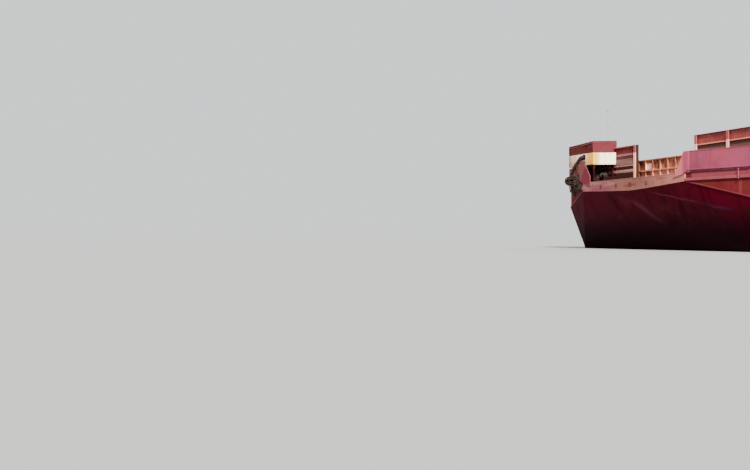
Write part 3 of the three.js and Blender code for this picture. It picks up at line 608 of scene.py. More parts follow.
# columns: from height, to height over the foredeck, colour
# Painted highlight along the lower lip of the port boards
PORT_BANDS = [(0.198, 0.208, (1.1, 0.36, 0.26))]
# Painted shadow under the channel of the starboard boards, painted highlights on its lower lip and
# along its top edge, and the pink paint below the plank
STARBOARD_BANDS = [
    (0.180, 0.195, (0.16, 0.016, 0.022)),
    (0.196, 0.214, (0.62, 0.2, 0.22)),
    (0.262, 0.275, (1.0, 0.38, 0.33)),
    (0, 0.1275, (0.66, 0.3, 0.27)),
]

hull_material()
band_material()
wall_material()
board_material("board_paint", *BOARD_REDS)
board_material("aft_board_paint", *BOARD_REDS, LOOKS_FORWARD)
board_material("port_board_paint", (0.6, 0.1, 0.086), (0.46, 0.072, 0.064), LOOKS_AFT,
               PORT_POSTS, (0.32, 0.11, 0.1), PORT_BANDS, 0.5)
board_material("starboard_board_paint", (0.28, 0.004, 0.025), (0.2, 0.003, 0.018), LOOKS_AFT,
               STARBOARD_POSTS, (0.46, 0.22, 0.19), STARBOARD_BANDS, 0.3)
panel_material()
cream_material()
red_material()
dark_material()
grey_material()
pale_material()
rope_material()
wire_material()
strake_material("strake_paint", (0.46, 0.095, 0.115), (0.36, 0.07, 0.09), (0.6, 0.18, 0.19))
strake_material("side_strake_paint", (0.36, 0.05, 0.06), (0.27, 0.04, 0.046), (0.5, 0.13, 0.14))
strake_material("chine_paint", (0.24, 0.03, 0.04), (0.18, 0.022, 0.028), (0.34, 0.07, 0.085))
strake_material("frame_paint", (0.05, 0.004, 0.01), (0.034, 0.003, 0.007), (0.08, 0.012, 0.018))

# Materials of the nodes that don't take the one of their slot
NODE_PAINTS = {
    "hood_frame": "frame_paint",
    "front_boards_port": "port_board_paint",
    "front_boards_starboard": "starboard_board_paint",
    "aft_boards": "aft_board_paint",
    "quarter_fender_port": "strake_paint",
    "quarter_fender_starboard": "strake_paint",
    "side_strakes_port": "side_strake_paint",
    "side_strakes_starboard": "side_strake_paint",
}

for part in frame["record"]["subparts"]:
    paints = frame["nodes"][part["node"]].data.materials
    paints.clear()
    paints.append(MATERIALS[NODE_PAINTS.get(part["node"], part["material_slot"])])


# Shapes

def frames(points, closed=False):
    """Each point of a line, with two directions square to it that are carried along."""
    count = len(points)
    side = None
    for k, point in enumerate(points):
        before = points[k - 1] if k or closed else point
        after = points[(k + 1) % count] if k < count - 1 or closed else point
        ahead = (after - before).normalized()
        if side is None:
            side = ahead.orthogonal().normalized()
        side = (side - ahead * side.dot(ahead)).normalized()
        yield point, side, ahead.cross(side)


class Form:
    """One mesh piece put together from bevelled blocks, tubes, lathed forms and heads."""

    def __init__(self):
        self.bm = bmesh.new()

    def corners(self, points):
        return [self.bm.verts.new(point) for point in points]

    def skin(self, one, two, shift=0):
        """Faces from one ring of corners to the next."""
        count = len(one)
        for s in range(count):
            t = (s + 1) % count
            self.bm.faces.new((one[s], one[t], two[(t + shift) % count], two[(s + shift) % count]))

    def block(self, low, high, bevel):
        size = high - low
        verts = bmesh.ops.create_cube(self.bm, size=1.0)["verts"]
        bmesh.ops.scale(self.bm, vec=size, verts=verts)
        bmesh.ops.translate(self.bm, vec=(low + high) / 2, verts=verts)
        edges = list({edge for vert in verts for edge in vert.link_edges})
        bmesh.ops.bevel(self.bm, geom=edges, offset=min(bevel, min(size) * 0.3), segments=2,
                        profile=0.6, affect="EDGES")

    def tube(self, points, radius, sides=10, closed=False):
        """A round bar through the points, with one radius or with one for each point."""
        sizes = radius if isinstance(radius, list) else [radius] * len(points)
        rings = []
        for (point, side, across), size in zip(frames(points, closed), sizes):
            rings.append(self.corners([point + size * (cos(t) * side + sin(t) * across)
                                       for t in circle(sides)]))
        for one, two in zip(rings, rings[1:]):
            self.skin(one, two)
        first, last = rings[0], rings[-1]
        if closed:
            self.skin(last, first, min(range(sides), key=lambda s: (last[0].co - first[s].co).length))
        else:
            self.bm.faces.new(first[::-1])
            self.bm.faces.new(last)

    def lathe(self, start, end, profile, sides):
        """A turned form: profile gives (share of the way from start to end, radius)."""
        line = [start.lerp(end, share) for share, _ in profile]
        self.tube(line, [radius for _, radius in profile], sides)

    def heads(self, places, out, radius, high):
        """Bolt heads or rivets standing out of a face."""
        out = Vector(out).normalized()
        for place in places:
            self.tube([place - out * 0.0005, place + out * high * 0.7, place + out * high],
                      [radius, radius, radius * 0.7], 6)

    def ring(self, centre, axis, radius, wire, count=20):
        axis = Vector(axis).normalized()
        one = axis.orthogonal().normalized()
        two = axis.cross(one)
        self.tube([centre + radius * (cos(t) * one + sin(t) * two) for t in circle(count)],
                  wire, 6, closed=True)

    def frame(self, sections):
        """A closed frame, with its section given at each corner."""
        rings = [self.corners(section) for section in sections]
        for one, two in zip(rings, rings[1:] + rings[:1]):
            self.skin(one, two)

    def prism(self, outline, way):
        """A flat outline carried along a way."""
        near = self.corners(outline)
        far = self.corners([point + Vector(way) for point in outline])
        self.bm.faces.new(near)
        self.bm.faces.new(far[::-1])
        self.skin(near, far)

    def piece(self, name, slot, body="hull", paint=None, smooth=35):
        bmesh.ops.recalc_face_normals(self.bm, faces=self.bm.faces)
        mesh = bpy.data.meshes.new(name)
        self.bm.to_mesh(mesh)
        self.bm.free()
        mesh.shade_smooth()
        mesh.set_sharp_from_angle(angle=radians(smooth))
        mesh.materials.append(MATERIALS[paint or slot])
        made = add_object(name, mesh)
        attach(made, body)
        return made


def grid(afts, ys, ups):
    """Points at every aft, y and height given."""
    return [at(aft, y, up) for aft in afts for y in ys for up in ups]


def flat_circle(aft, y, up, radius, turns):
    return [at(aft + radius * cos(t), y + radius * sin(t), up) for t in turns]


# Bow quarter: the slanted run from the front corner to the full beam
QUARTER_START = (0.013, 0.71)
QUARTER_WAY = Vector((0.137, 0.495)).normalized()
# columns: aft, y to port, height over the foredeck
CHINE_LINE = [
    (0.014, 0.712, -0.056),
    (0.151, 1.206, -0.171),
    (0.251, 1.206, -0.421),
]
PIPE_ALONG, PIPE_OUT = 0.426, 0.0165


def quarter(s, out, up, side=1):
    """A point s along the bow quarter, standing out from its panel, on the side given."""
    aft = QUARTER_START[0] + s * QUARTER_WAY[0] - out * QUARTER_WAY[1]
    y = QUARTER_START[1] + s * QUARTER_WAY[1] + out * QUARTER_WAY[0]
    return at(aft, side * y, up)


def add_quarter_trim():
    for side, name in SIDES:
        # Half-round bars on the lower edges of the bow quarter, and a short one by its corner
        bars = Form()
        for ends in (CHINE_LINE[:2], CHINE_LINE[1:]):
            bars.tube(mirrored(side, ends), 0.0055)
        bars.tube([quarter(s, 0.001, -0.004, side) for s in (0.0, 0.036)], 0.005, 8)
        bars.piece(f"quarter_bars_{name}", "wall_paint", paint="chine_paint")
        # Rounded edge of the slanted end plate
        edge = Form()
        edge.tube(mirrored(side, [(0.0035, 0.703, 0.133), (0.0035, 0.579, -0.028)]), 0.0032, 8)
        edge.piece(f"wall_edge_{name}", "wall_paint")
        # Short upright drain pipe from the foot of the wall over the fender
        pipe = Form()
        pipe.tube([quarter(PIPE_ALONG, PIPE_OUT, up, side) for up in (0.006, -0.058)], 0.0026)
        pipe.ring(quarter(PIPE_ALONG, PIPE_OUT, -0.057, side), UP, 0.0034, 0.001, 12)
        pipe.piece(f"quarter_pipe_{name}", "wall_paint")


# Mooring rope made fast on the cleat of the starboard wall

ROPE_RADIUS = 0.0048
STRAND = 0.52 * ROPE_RADIUS
ROPE_PITCH = 7.0 * ROPE_RADIUS
ROPE_UP = 0.025
# columns: distance along the wall, half height, out from, out to
BUNDLE = [
    (0.045, 0.016, 0.018, 0.022),
    (0.100, 0.034, 0.018, 0.039),
    (0.200, 0.038, 0.020, 0.066),
    (0.280, 0.032, 0.028, 0.088),
    (0.320, 0.014, 0.052, 0.088),
]
# columns: drop, shift along the wall
BIGHTS = [
    (0.074, 0.000),
    (0.062, 0.016),
    (0.086, -0.014),
    (0.050, 0.032),
]


def bundle_at(s):
    """Half height and near and far side of the rope bundle at a distance along the wall."""
    for one, two in zip(BUNDLE, BUNDLE[1:]):
        if s <= two[0]:
            break
    share = min(1.0, max(0.0, (s - one[0]) / (two[0] - one[0])))
    return [a + share * (b - a) for a, b in zip(one[1:], two[1:])]


def rope_point(s, out, up):
    """A point of the rope by the wall, kept just aft of the foremost line of the bow."""
    most = (QUARTER_START[0] + s * QUARTER_WAY[0] - 0.007) / QUARTER_WAY[1]
    return quarter(s, min(out, most), up, -1)


def lay_rope(form, turns, place):
    """Three strands twisted round the path that place gives over the angles of a turn."""
    path = [rope_point(*place(t)) for t in turns]
    walked = [0.0]
    for one, two in zip(path, path[1:]):
        walked.append(walked[-1] + (two - one).length)
    for strand in range(3):
        line = []
        for (point, across, up), distance in zip(frames(path), walked):
            turn = 2 * pi * (distance / ROPE_PITCH + strand / 3)
            line.append(point + STRAND * (cos(turn) * across + sin(turn) * up))
        form.tube(line, STRAND, 6)


def add_long_turn(rope, share, nest):
    """A turn over the horns of the cleat; share is how far out it lies, nest how high it reaches."""
    reach = 0.112 + 0.018 * rng.random() - 0.012 * (1 - nest)
    phase = 6.3 * rng.random()

    def place(t):
        s = 0.182 + reach * cos(t)
        _, near, far = bundle_at(s)
        return (s, near + (far - near) * share + 0.0015 * sin(3 * t + phase),
                ROPE_UP + nest * 0.036 * sin(t) + 0.002 * sin(2 * t + phase))
    lay_rope(rope, circle(90, 1), place)


def add_close_turn(rope, nest):
    """A turn laid close along the wall, as far as the corner."""
    phase = 6.3 * rng.random()
    lay_rope(rope, circle(90, 1), lambda t: (
        0.142 + 0.13 * cos(t), 0.0185 + 0.002 * sin(2 * t + phase),
        ROPE_UP + 0.004 + nest * 0.026 * sin(t)))


def add_round_turn(rope, s):
    """A turn that binds the others."""
    half, near, far = bundle_at(s)
    lay_rope(rope, circle(48, 1), lambda t: (
        s + 0.003 * sin(t), max(0.0195, (near + far) / 2 + ((far - near) / 2 + 0.004) * cos(t)),
        ROPE_UP + (half + 0.003) * sin(t)))


def add_coil_loop(rope, loop):
    """A loop of the slack coil that hangs under the turns."""
    size = 1.0 - 0.09 * (loop % 5) - 0.25 * (loop % 2)
    wide, high = (0.078 + 0.016 * rng.random()) * size, (0.033 + 0.007 * rng.random()) * size
    phase = 6.3 * rng.random()
    lay_rope(rope, circle(72, 1), lambda t: (
        0.103 + wide * cos(t), 0.018 + 0.003 * loop + 0.002 * sin(2 * t + phase),
        -0.022 + high * sin(t) + 0.002 * sin(3 * t + phase)))


def add_bight(rope, drop, shift):
    """A slack bight below the coil."""
    lay_rope(rope, span(0, pi, 61), lambda t: (
        0.18 + shift + 0.016 * cos(t), 0.04 + shift / 2 + 0.007 * cos(t),
        -0.01 - drop * sin(t) ** 0.8))


def add_mooring_rope():
    rope = Form()
    for share in (0.06, 0.28, 0.5, 0.72, 0.94):
        for nest in (1.0, 0.66, 0.33):
            add_long_turn(rope, share, nest)
    for nest in (0.9, 0.55, 0.2):
        add_close_turn(rope, nest)
    for s in (0.118, 0.128, 0.138, 0.212, 0.222):
        add_round_turn(rope, s)
    for loop in range(10):
        add_coil_loop(rope, loop)
    for drop, shift in BIGHTS:
        add_bight(rope, drop, shift)
    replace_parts(rope.piece("mooring_rope", "rope", smooth=60), "mooring_turns")


# Winch hood, to starboard: distances aft, to starboard and over the foredeck
HOOD_FRONT, HOOD_BACK = 0.1, 0.3
HOOD_INNER, HOOD_OUTER = 0.725, 1.14
HOOD_CORNERS = [(HOOD_FRONT, HOOD_INNER), (HOOD_BACK, HOOD_INNER),
                (HOOD_BACK, HOOD_OUTER), (HOOD_FRONT, HOOD_OUTER)]
RIVET = (0.0019, 0.0016)
# columns: aft, y, height over the foredeck, radius
ARM = [
    (0.0985, -0.876, 0.2070, 0.0080),
    (0.0890, -0.884, 0.2055, 0.0140),
    (0.0800, -0.897, 0.1950, 0.0165),
    (0.0715, -0.916, 0.1720, 0.0160),
    (0.0620, -0.934, 0.1500, 0.0150),
    (0.0520, -0.950, 0.1220, 0.0140),
    (0.0460, -0.968, 0.0940, 0.0125),
    (0.0450, -0.984, 0.0660, 0.0110),
    (0.0452, -0.992, 0.0460, 0.0105),
    (0.0456, -0.995, 0.0300, 0.0095),
]
POLE_AT = (0.245, -0.76)
VENT_AT = (0.115, -0.78)


def roof_point(aft, out, over=0.0):
    """A point over the sloping roof of the hood."""
    fall = 0.02 * (out - HOOD_INNER) / (HOOD_OUTER - HOOD_INNER)
    return at(aft, -out, 0.318 - fall - 0.008 * (HOOD_BACK - aft) / 0.2 + over)


def add_rivets(form, up):
    """Rivets all round the hood, at one height."""
    afts, ys = span(0.112, 0.288, 9), span(-0.745, -1.125, 15)
    form.heads(grid(afts, [-HOOD_INNER], [up]), PORT, *RIVET)
    form.heads(grid(afts, [-HOOD_OUTER], [up]), -PORT, *RIVET)
    form.heads(grid([HOOD_FRONT], ys, [up]), FRONT, *RIVET)
    form.heads(grid([HOOD_BACK], ys, [up]), -FRONT, *RIVET)


def add_roof_trim():
    red = Form()
    # Lip over the corner vent, with the rounded edges of the roof
    red.tube([at(0.0975, -0.905, 0.295), at(0.097, -0.815, 0.3005), at(0.097, -0.729, 0.3045)],
             0.0032, 8)
    for ends in ((0, 3), (1, 2), (0, 1), (3, 2)):
        red.tube([roof_point(*HOOD_CORNERS[k], -0.002) for k in ends], 0.0022, 6)
    add_rivets(red, 0.2365)
    # Low coaming round the roof, highest at its outboard end
    sections = []
    for aft, out in HOOD_CORNERS:
        back = 1 if aft == HOOD_FRONT else -1
        outboard = 1 if out == HOOD_INNER else -1
        edge = roof_point(aft, out)
        head = 0.016 if out == HOOD_OUTER else 0.01
        section = (0.0005, -0.004), (0.0005, head), (0.004, head), (0.004, -0.004)
        sections.append([edge + Vector((-back * inset, -outboard * inset, over))
                         for inset, over in section])
    red.frame(sections)
    red.piece("roof_trim", "red_paint")
    # Vent in the front of the roof
    vent = Form()
    vent.block(at(0.1015, -0.808, 0.26), at(0.0988, -0.729, 0.298), 0.0006)
    for up in (0.266, 0.273, 0.28, 0.287):
        vent.block(at(0.0992, -0.804, up), at(0.0975, -0.733, up + 0.0022), 0.0004)
    vent.piece("roof_vent", "red_paint", paint="chine_paint")
    # Lifting eyes
    eyes = Form()
    for aft in (0.125, 0.275):
        for out in (0.76, 1.105):
            foot = roof_point(aft, out)
            eyes.block(foot + Vector((-0.009, -0.009, -0.0005)),
                       foot + Vector((0.009, 0.009, 0.0025)), 0.0006)
            eyes.ring(foot + 0.0046 * UP, UP, 0.008, 0.0022)
    eyes.piece("hood_fittings", "dark_paint")


def add_skirt_trim():
    skirt = Form()
    add_rivets(skirt, 0.2295)
    # Folded foot of the skirt
    skirt.tube([at(aft, -out, 0.1425) for aft, out in HOOD_CORNERS], 0.0022, 6, closed=True)
    skirt.piece("skirt_trim", "cream_paint")
    # Aprons under the skirt, outboard and behind
    apron = Form()
    apron.block(at(0.298, -1.1392, 0.1), at(0.15, -1.1365, 0.1408), 0.0005)
    apron.block(at(0.2998, -1.136, 0.06), at(0.2972, -0.862, 0.1408), 0.0005)
    apron.piece("hood_aprons", "dark_paint", paint="strake_paint")
    # Rusty end of the back apron, stiffened with two ribs
    apron = Form()
    apron.block(at(0.2998, -0.8615, 0.06), at(0.2972, -0.73, 0.1408), 0.0005)
    for out in (0.762, 0.832):
        apron.block(at(0.2975, -out - 0.002, 0.062), at(0.2935, -out + 0.002, 0.139), 0.0006)
    apron.piece("back_apron", "band_paint")
    # After edge of the skirt, flared out to lap over the boards
    flare = Form()
    outline = (0.2, -0.7247), (0.2705, -0.7247), (0.2705, -0.685)
    flare.prism([at(aft, y, 0.1425) for aft, y in outline], (0, 0, 0.0895))
    flare.heads(grid([0.2353], [-0.7049], (0.152, 0.187, 0.222)), (0.49, 0.87, 0), *RIVET)
    flare.piece("skirt_flare", "cream_paint")


def add_hood_arm():
    """Thick arm that stands off the front of the hood, passes over the wall and reaches the rope."""
    arm = Form()
    line = [at(*place) for *place, _ in ARM]
    arm.tube(line, [radius for *_, radius in ARM], 14)
    for k in (2, 4, 6):
        arm.ring(line[k], line[k + 1] - line[k - 1], 0.015 if k < 6 else 0.0128, 0.0022)
    arm.block(at(0.1, -0.9, 0.186), at(0.0972, -0.852, 0.2255), 0.0008)
    arm.heads(grid([0.0972], (-0.896, -0.856), (0.19, 0.2215)), FRONT, 0.0021, 0.0018)
    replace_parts(arm.piece("hood_arm", "dark_paint"), "hood_brace")


def add_pole_fittings():
    """Short vent pipe on the roof, and the collar, guard and clamp of the light pole."""
    pale = Form()
    foot = roof_point(VENT_AT[0], -VENT_AT[1])
    pale.tube([foot - 0.001 * UP, at(*VENT_AT, 0.392)], 0.0034, 8)
    pale.lathe(at(*VENT_AT, 0.388), at(*VENT_AT, 0.399),
               [(0, 0.003), (0.2, 0.0075), (0.7, 0.0066), (1, 0.002)], 14)
    pale.ring(foot + 0.001 * UP, UP, 0.0045, 0.0016)
    for up in (0.345, 0.43, 0.5):
        pale.ring(at(*POLE_AT, up), UP, 0.0042, 0.0012, 14)
    for up in (0.5535, 0.5625, 0.5705):
        pale.ring(at(*POLE_AT, up), UP, 0.0083, 0.0008, 16)
    base = roof_point(0.259, 0.774).z + 0.0045 - FOREDECK
    pale.heads(flat_circle(*POLE_AT, base, 0.01, span(0.4, 5.1, 4)), UP, 0.0016, 0.0018)
    pale.piece("pole_fittings", "pale_paint")


# Mooring winch under the hood

WINCH_AFT, WINCH_UP = 0.22, 0.064
WIRE_TURNS, TURN_STEPS = 27, 36
WIRE_START, WIRE_RUN = -1.0045, 0.1405
CASE_Y = -1.071
# columns: y, radius, thickness, corners of the rings that turn with the drum
DRUM_RINGS = [
    (-0.8500, 0.0125, 0.0020, 20),
    (-1.0160, 0.0125, 0.0020, 20),
    (-0.8585, 0.0518, 0.0016, 32),
    (-1.0075, 0.0518, 0.0016, 32),
    (-0.8020, 0.0185, 0.0022, 28),
    (-0.7545, 0.0175, 0.0022, 28),
]


def round_winch(y, radius, t, high=None):
    """A point round the shaft of the winch."""
    return at(WINCH_AFT + radius * cos(t), y, WINCH_UP + (high or radius) * sin(t))


def add_drum_details():
    wire = Form()
    count = WIRE_TURNS * TURN_STEPS
    wire.tube([round_winch(WIRE_START + WIRE_RUN * k / count, 0.0422, 2 * pi * k / TURN_STEPS)
               for k in range(count + 1)], 0.0026, 6)
    wire.piece("winch_wire", "grey_paint", "winch_drum", "wire")
    turning = Form()
    for y, radius, thick, corners in DRUM_RINGS:
        turning.ring(at(WINCH_AFT, y, WINCH_UP), PORT, radius, thick, corners)
    for y, out in ((-0.85, PORT), (-1.016, -PORT)):
        turning.heads([round_winch(y, 0.044, t) for t in circle(8)], out, 0.0028, 0.0024)
    turning.heads([round_winch(-0.75, 0.0145, t) for t in circle(4)], PORT, 0.0024, 0.002)
    turning.heads([at(WINCH_AFT, -0.745, WINCH_UP)], PORT, 0.006, 0.004)
    turning.piece("drum_fittings", "grey_paint", "winch_drum")


def add_winch_fittings():
    case = Form()
    # Gear case: cover, bolts, filler, and the fins of the motor
    case.block(at(0.172, -1.093, 0.02), at(0.1703, -1.049, 0.082), 0.0006)
    case.heads(grid([0.1703], (-1.09, -1.052), span(0.024, 0.078, 4)), FRONT, 0.0018, 0.0016)
    case.lathe(at(0.25, CASE_Y, 0.0915), at(0.25, CASE_Y, 0.101),
               [(0, 0.007), (0.6, 0.007), (0.65, 0.0092), (1, 0.008)], 12)
    for up in span(0.097, 0.119, 6):
        case.ring(at(0.2, CASE_Y, up), UP, 0.0203, 0.0012, 24)
    case.ring(at(WINCH_AFT, -1.0415, WINCH_UP), PORT, 0.016, 0.003)
    # Bearing caps on the two stands
    for y, way in ((-1.0355, -1), (-0.8455, -1), (-0.8365, 1), (-1.0265, 1)):
        case.ring(at(WINCH_AFT, y + 0.0004 * way, WINCH_UP), PORT, 0.0152, 0.0022)
        case.heads([round_winch(y, 0.021, t, 0.016) for t in span(0.7, 5.4, 4)],
                   way * PORT, 0.002, 0.0016)
    # Brake lever beside the inner stand
    case.tube([at(0.186, -0.8315, 0.016), at(0.182, -0.8305, 0.06), at(0.17, -0.829, 0.112)],
              0.0024, 8)
    case.lathe(at(0.17, -0.829, 0.109), at(0.1685, -0.829, 0.119),
               [(0, 0.003), (0.4, 0.0055), (0.8, 0.005), (1, 0.002)], 12)
    case.block(at(0.193, -0.836, 0.01), at(0.179, -0.8275, 0.018), 0.0008)
    case.piece("winch_fittings", "grey_paint")


BAND_FACE = 0.0052
# columns: y, height over the foredeck
BAND_FOOT = [
    (-0.708, -0.0655),
    (-0.200, -0.0805),
    (0.000, -0.0855),
    (0.200, -0.0785),
    (0.708, -0.0535),
]


def add_band_trim():
    rims, holes = Form(), Form()
    for y in CHOCKS:
        rims.ring(at(0.0048, y, CHOCK_UP), FRONT, 0.0098, 0.0017, 18)
        holes.tube(grid((0.0118, 0.0086), [y], [CHOCK_UP]), 0.0079, 16)
    # Half-round edge bars along the foot and the top of the band
    rims.tube([at(BAND_FACE, y, up) for y, up in BAND_FOOT], 0.0018, 6)
    rims.tube(grid([0.0056], (-0.708, 0.708), [-0.0015]), 0.0018, 6)
    # Butt welds between its plates
    for y in (-0.31, 0.12, 0.5):
        rims.tube(grid([BAND_FACE], [y], (-0.004, -0.05)), 0.0011, 5)
    rims.piece("band_trim", "band_paint")
    holes.piece("chock_holes", "dark_paint")


# columns: side, y of the posts, y where the boards start and end, count of bars
BOARD_RUNS = [
    ("port", PORT_POSTS, 0.405, 1.135, 6),
    ("starboard", STARBOARD_POSTS, -0.7245, -0.405, 3),
]
POST_FACE = 0.271
BOARD_FACE = 0.2745
RAIL_END = -0.815


def add_post_trim(form, y):
    """Bolts on a post, and the bolted foot plate and gusset that hold it."""
    form.heads(grid([POST_FACE], (y - 0.007, y + 0.007), (0.142, 0.16, 0.207, 0.233, 0.259)),
               FRONT, 0.0021, 0.0018)
    form.heads(grid([POST_FACE], [y], (0.03, 0.055, 0.105)), FRONT, 0.0018, 0.0015)
    form.block(at(0.306, y - 0.021, 0.0003), at(0.264, y + 0.021, 0.0035), 0.0006)
    form.heads(grid((0.267, 0.303), (y - 0.018, y + 0.018), [0.0035]), UP, 0.002, 0.0018)
    toe = 0.345 if y > 0.5 else 0.322
    gusset = (0.299, 0.0035), (toe, 0.0035), (0.299, 0.07)
    form.prism([at(aft, y - 0.0015, up) for aft, up in gusset], (0, 0.003, 0))


def add_board_trim():
    for name, posts, start, end, bars in BOARD_RUNS:
        form = Form()
        for y in posts:
            add_post_trim(form, y)
        for up, radius in ((0.2675, 0.0026), (0.199, 0.0022)):
            form.tube(grid([BOARD_FACE], (start, end), [up]), radius, 8)
        for y in span(start + 0.05, end - 0.05, bars):
            form.tube(grid([0.2815], [y], (0.204, 0.263)), 0.0011, 5)
        if name == "starboard":
            # Angle bar under the plank, and the ribbed lower rail; both run on behind the hood
            form.block(at(0.2795, RAIL_END, 0.1175), at(0.2725, end, 0.1265), 0.001)
            form.block(at(0.2795, RAIL_END, 0.0715), at(0.2735, end, 0.0935), 0.0012)
            for y in span(start + 0.04, end - 0.04, 4):
                form.block(at(0.2738, y - 0.0015, 0.074), at(0.2722, y + 0.0015, 0.091), 0.0004)
        form.piece(f"board_trim_{name}", "board_paint", paint=f"{name}_board_paint")


PANEL_HALF = 0.456


def add_panel_welds():
    """Welds beside the stiffeners of the centre panel, and the bolts and top bead of its frame."""
    weld = Form()
    for stiffener in span(-PANEL_HALF, PANEL_HALF, 10):
        for y in (stiffener - 0.0045, stiffener + 0.0045):
            if abs(y) < PANEL_HALF - 0.001:
                weld.tube(grid([0.3445], [y], (0.01, 0.145)), 0.0011, 5)
    weld.heads(grid([0.333], span(-0.44, 0.44, 12), (0.004, 0.151)), FRONT, 0.0018, 0.0014)
    weld.tube(grid([0.3335], (-0.459, 0.459), [0.1545]), 0.0016, 6)
    weld.piece("panel_welds", "rusty_plate")


def add_wall_trim():
    for side, name in SIDES:
        form = Form()
        out = quarter(0, 1, 0, side) - quarter(0, 0, 0, side)
        form.heads([quarter(s, 0.014, up, side) for s in span(0.075, 0.49, 10)
                    for up in (0.026, 0.123)], out, 0.0019, 0.0014)
        for up, radius in ((0.1325, 0.0018), (0.0165, 0.0016)):
            form.tube([quarter(s, 0.0145, up, side) for s in (0.036, 0.5125)], radius, 6)
        # Rail on the top of the side part
        rail = [(0.152, 1.2165, 0.1335), (0.498, 1.2165, 0.1335), (0.599, 1.2165, 0.0365)]
        form.tube(mirrored(side, rail), 0.002, 6)
        form.piece(f"wall_trim_{name}", "wall_paint")


BITTS = ["bitt_bow"] + [f"bitt_{place}_{side}" for _, side in SIDES
                        for place in ("stern", "side_1", "side_2", "side_3")]


def add_bitt_welds():
    """Welds, rims and cross bars of the two bollards of each bitt, and the bolts of its bed."""
    form = Form()
    for name in BITTS:
        low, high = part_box(name)
        middle = (Vector(low) + Vector(high)) / 2
        middle.z = low[2]
        lengthwise = high[0] - low[0] > high[1] - low[1]
        along, across = (FRONT, PORT) if lengthwise else (PORT, FRONT)
        for step in (-0.038, 0.038):
            foot = middle + along * step
            form.ring(foot + UP * 0.0042, UP, 0.0146, 0.0017, 16)
            form.ring(foot + UP * 0.0612, UP, 0.0168, 0.0018, 18)
            form.ring(foot + UP * 0.034, along, 0.0068, 0.001, 12)
        form.heads([middle + UP * 0.004 + along * one + across * two
                    for one in (-0.057, 0.057) for two in (-0.018, 0.018)], UP, 0.0026, 0.002)
    form.piece("bitt_welds", "dark_paint")


# columns: name, aft, y, height of the deck over the foredeck
HATCHES = [
    ("fore", 0.205, 0.900, 0.0),
    ("aft", 8.760, 0.520, DECK_UP),
]
COAMING_HALF = 0.0346


def add_hatch_details():
    for name, aft, y, deck in HATCHES:
        base = deck + 0.0003
        top = base + 0.0305
        lid = Form()
        for bar in (y - 0.014, y + 0.012):
            lid.block(at(aft + 0.022, bar - 0.0016, top - 0.0004),
                      at(aft - 0.022, bar + 0.0016, top + 0.0028), 0.0005)
        dogs = [(-0.029, -0.02), (-0.029, 0.02), (0.0, -0.031), (0.0, 0.031)]
        lid.heads([at(aft + step, y + shift, top) for step, shift in dogs], UP, 0.0034, 0.003)
        lid.piece(f"hatch_lid_details_{name}", "hull_paint", f"hatch_lid_{name}")
        rim = Form()
        rim.tube([at(aft + COAMING_HALF * back, y + COAMING_HALF * port, base + 0.0012)
                  for back, port in SQUARE], 0.0016, 6, closed=True)
        rim.piece(f"hatch_weld_{name}", "hull_paint")


# columns: aft of the foot, height over the deck
GOOSENECK = [
    (0.000, 0.000),
    (0.000, 0.045),
    (0.004, 0.056),
    (0.013, 0.062),
    (0.023, 0.058),
    (0.028, 0.048),
    (0.028, 0.040),
]


def deck_spots(afts, ys):
    return [(aft, y) for aft in afts for y in ys]


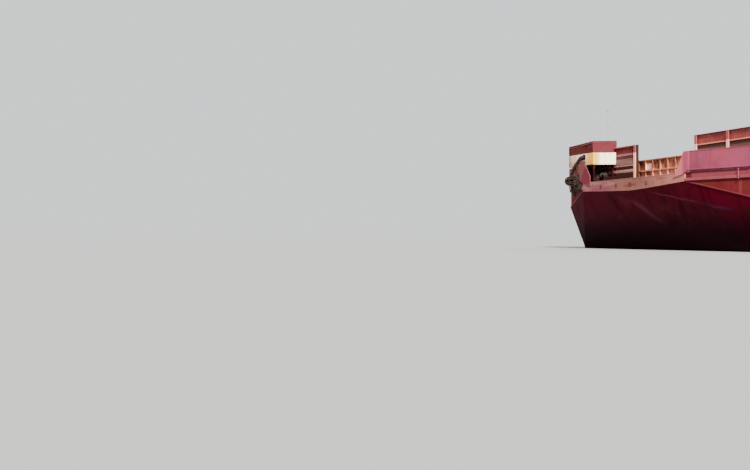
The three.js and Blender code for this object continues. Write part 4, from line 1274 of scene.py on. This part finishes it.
def add_deck_fittings():
    """Lashing rings, flush covers and gooseneck vents on the cargo deck."""
    rings = Form()
    for aft, y in deck_spots(span(1.6, 8.1, 9), (-1.02, 0.0, 1.02)):
        rings.lathe(at(aft, y, DECK_UP - 0.0005), at(aft, y, DECK_UP + 0.0032),
                    [(0, 0.017), (0.7, 0.016), (1, 0.013)], 14)
        rings.ring(at(aft + 0.006, y, DECK_UP + 0.0062), (0.25, 0, 1), 0.0115, 0.0021, 18)
        rings.tube(grid([aft - 0.006], (y - 0.006, y + 0.006), [DECK_UP + 0.004]), 0.0026, 8)
    rings.piece("lashing_rings", "dark_paint")
    covers = Form()
    for aft, y in deck_spots((1.9, 3.7, 5.5, 7.3), (-0.6, 0.6)):
        covers.lathe(at(aft, y, DECK_UP - 0.0005), at(aft, y, DECK_UP + 0.003),
                     [(0, 0.034), (0.8, 0.034), (1, 0.0325)], 28)
        covers.heads(flat_circle(aft, y, DECK_UP + 0.003, 0.029, circle(12)), UP, 0.002, 0.0018)
        covers.ring(at(aft, y, DECK_UP + 0.0055), (0, 0.5, 1), 0.006, 0.0014, 14)
    covers.piece("flush_covers", "hull_paint")
    vents = Form()
    for aft, y in deck_spots((1.7, 3.5, 5.6, 8.2), (-1.178, 1.178)):
        vents.tube([at(aft + step, y, DECK_UP + up) for step, up in GOOSENECK], 0.0065)
        vents.ring(at(aft, y, DECK_UP + 0.0015), UP, 0.0085, 0.0018, 14)
        vents.ring(at(aft + 0.028, y, DECK_UP + 0.0405), UP, 0.0072, 0.0013, 14)
    vents.piece("gooseneck_vents", "wall_paint")


RUNG = [(8.775, 1.2045), (8.775, 1.216), (8.825, 1.216), (8.825, 1.2045)]
FENDER_AFT, FENDER_Y = 9.1345, 1.072


def add_side_fittings():
    """Scupper pipes, boarding rungs, stern fenders and anodes."""
    steel, rubber, anodes = Form(), Form(), Form()
    for side, _ in SIDES:
        for place in grid(span(1.5, 8.0, 12), [side * 1.206], [DECK_UP - 0.012]):
            steel.ring(place, PORT, 0.0055, 0.0014, 12)
        for z in span(0.3, 0.49, 5):
            rung = [(*place, z - FOREDECK) for place in RUNG]
            steel.tube(mirrored(side, rung), 0.0022, 8)
        y = side * FENDER_Y
        rubber.lathe(at(FENDER_AFT, y, 0.372 - FOREDECK), at(FENDER_AFT, y, 0.541 - FOREDECK),
                     [(0, 0.005), (0.04, 0.0085), (0.96, 0.0085), (1, 0.005)], 16)
        for z in (0.395, 0.456, 0.517):
            rubber.ring(at(FENDER_AFT, y, z - FOREDECK), UP, 0.0086, 0.0008, 16)
        # Anodes on both faces of each skeg
        for aft, face in deck_spots((8.45, 8.75), (0.6985, 0.7315)):
            y = side * face
            anodes.block(at(aft + 0.035, y - 0.0022, 0.09 - FOREDECK),
                         at(aft - 0.035, y + 0.0022, 0.108 - FOREDECK), 0.001)
    steel.piece("side_fittings", "wall_paint", paint="strake_paint")
    rubber.piece("stern_fenders", "dark_paint")
    anodes.piece("anodes", "pale_paint")


add_quarter_trim()
add_roof_trim()
add_skirt_trim()
add_hood_arm()
add_pole_fittings()
add_drum_details()
add_winch_fittings()
add_band_trim()
add_board_trim()
add_panel_welds()
add_wall_trim()
add_bitt_welds()
add_hatch_details()
add_deck_fittings()
add_side_fittings()
add_mooring_rope()

bpy.context.view_layer.update()
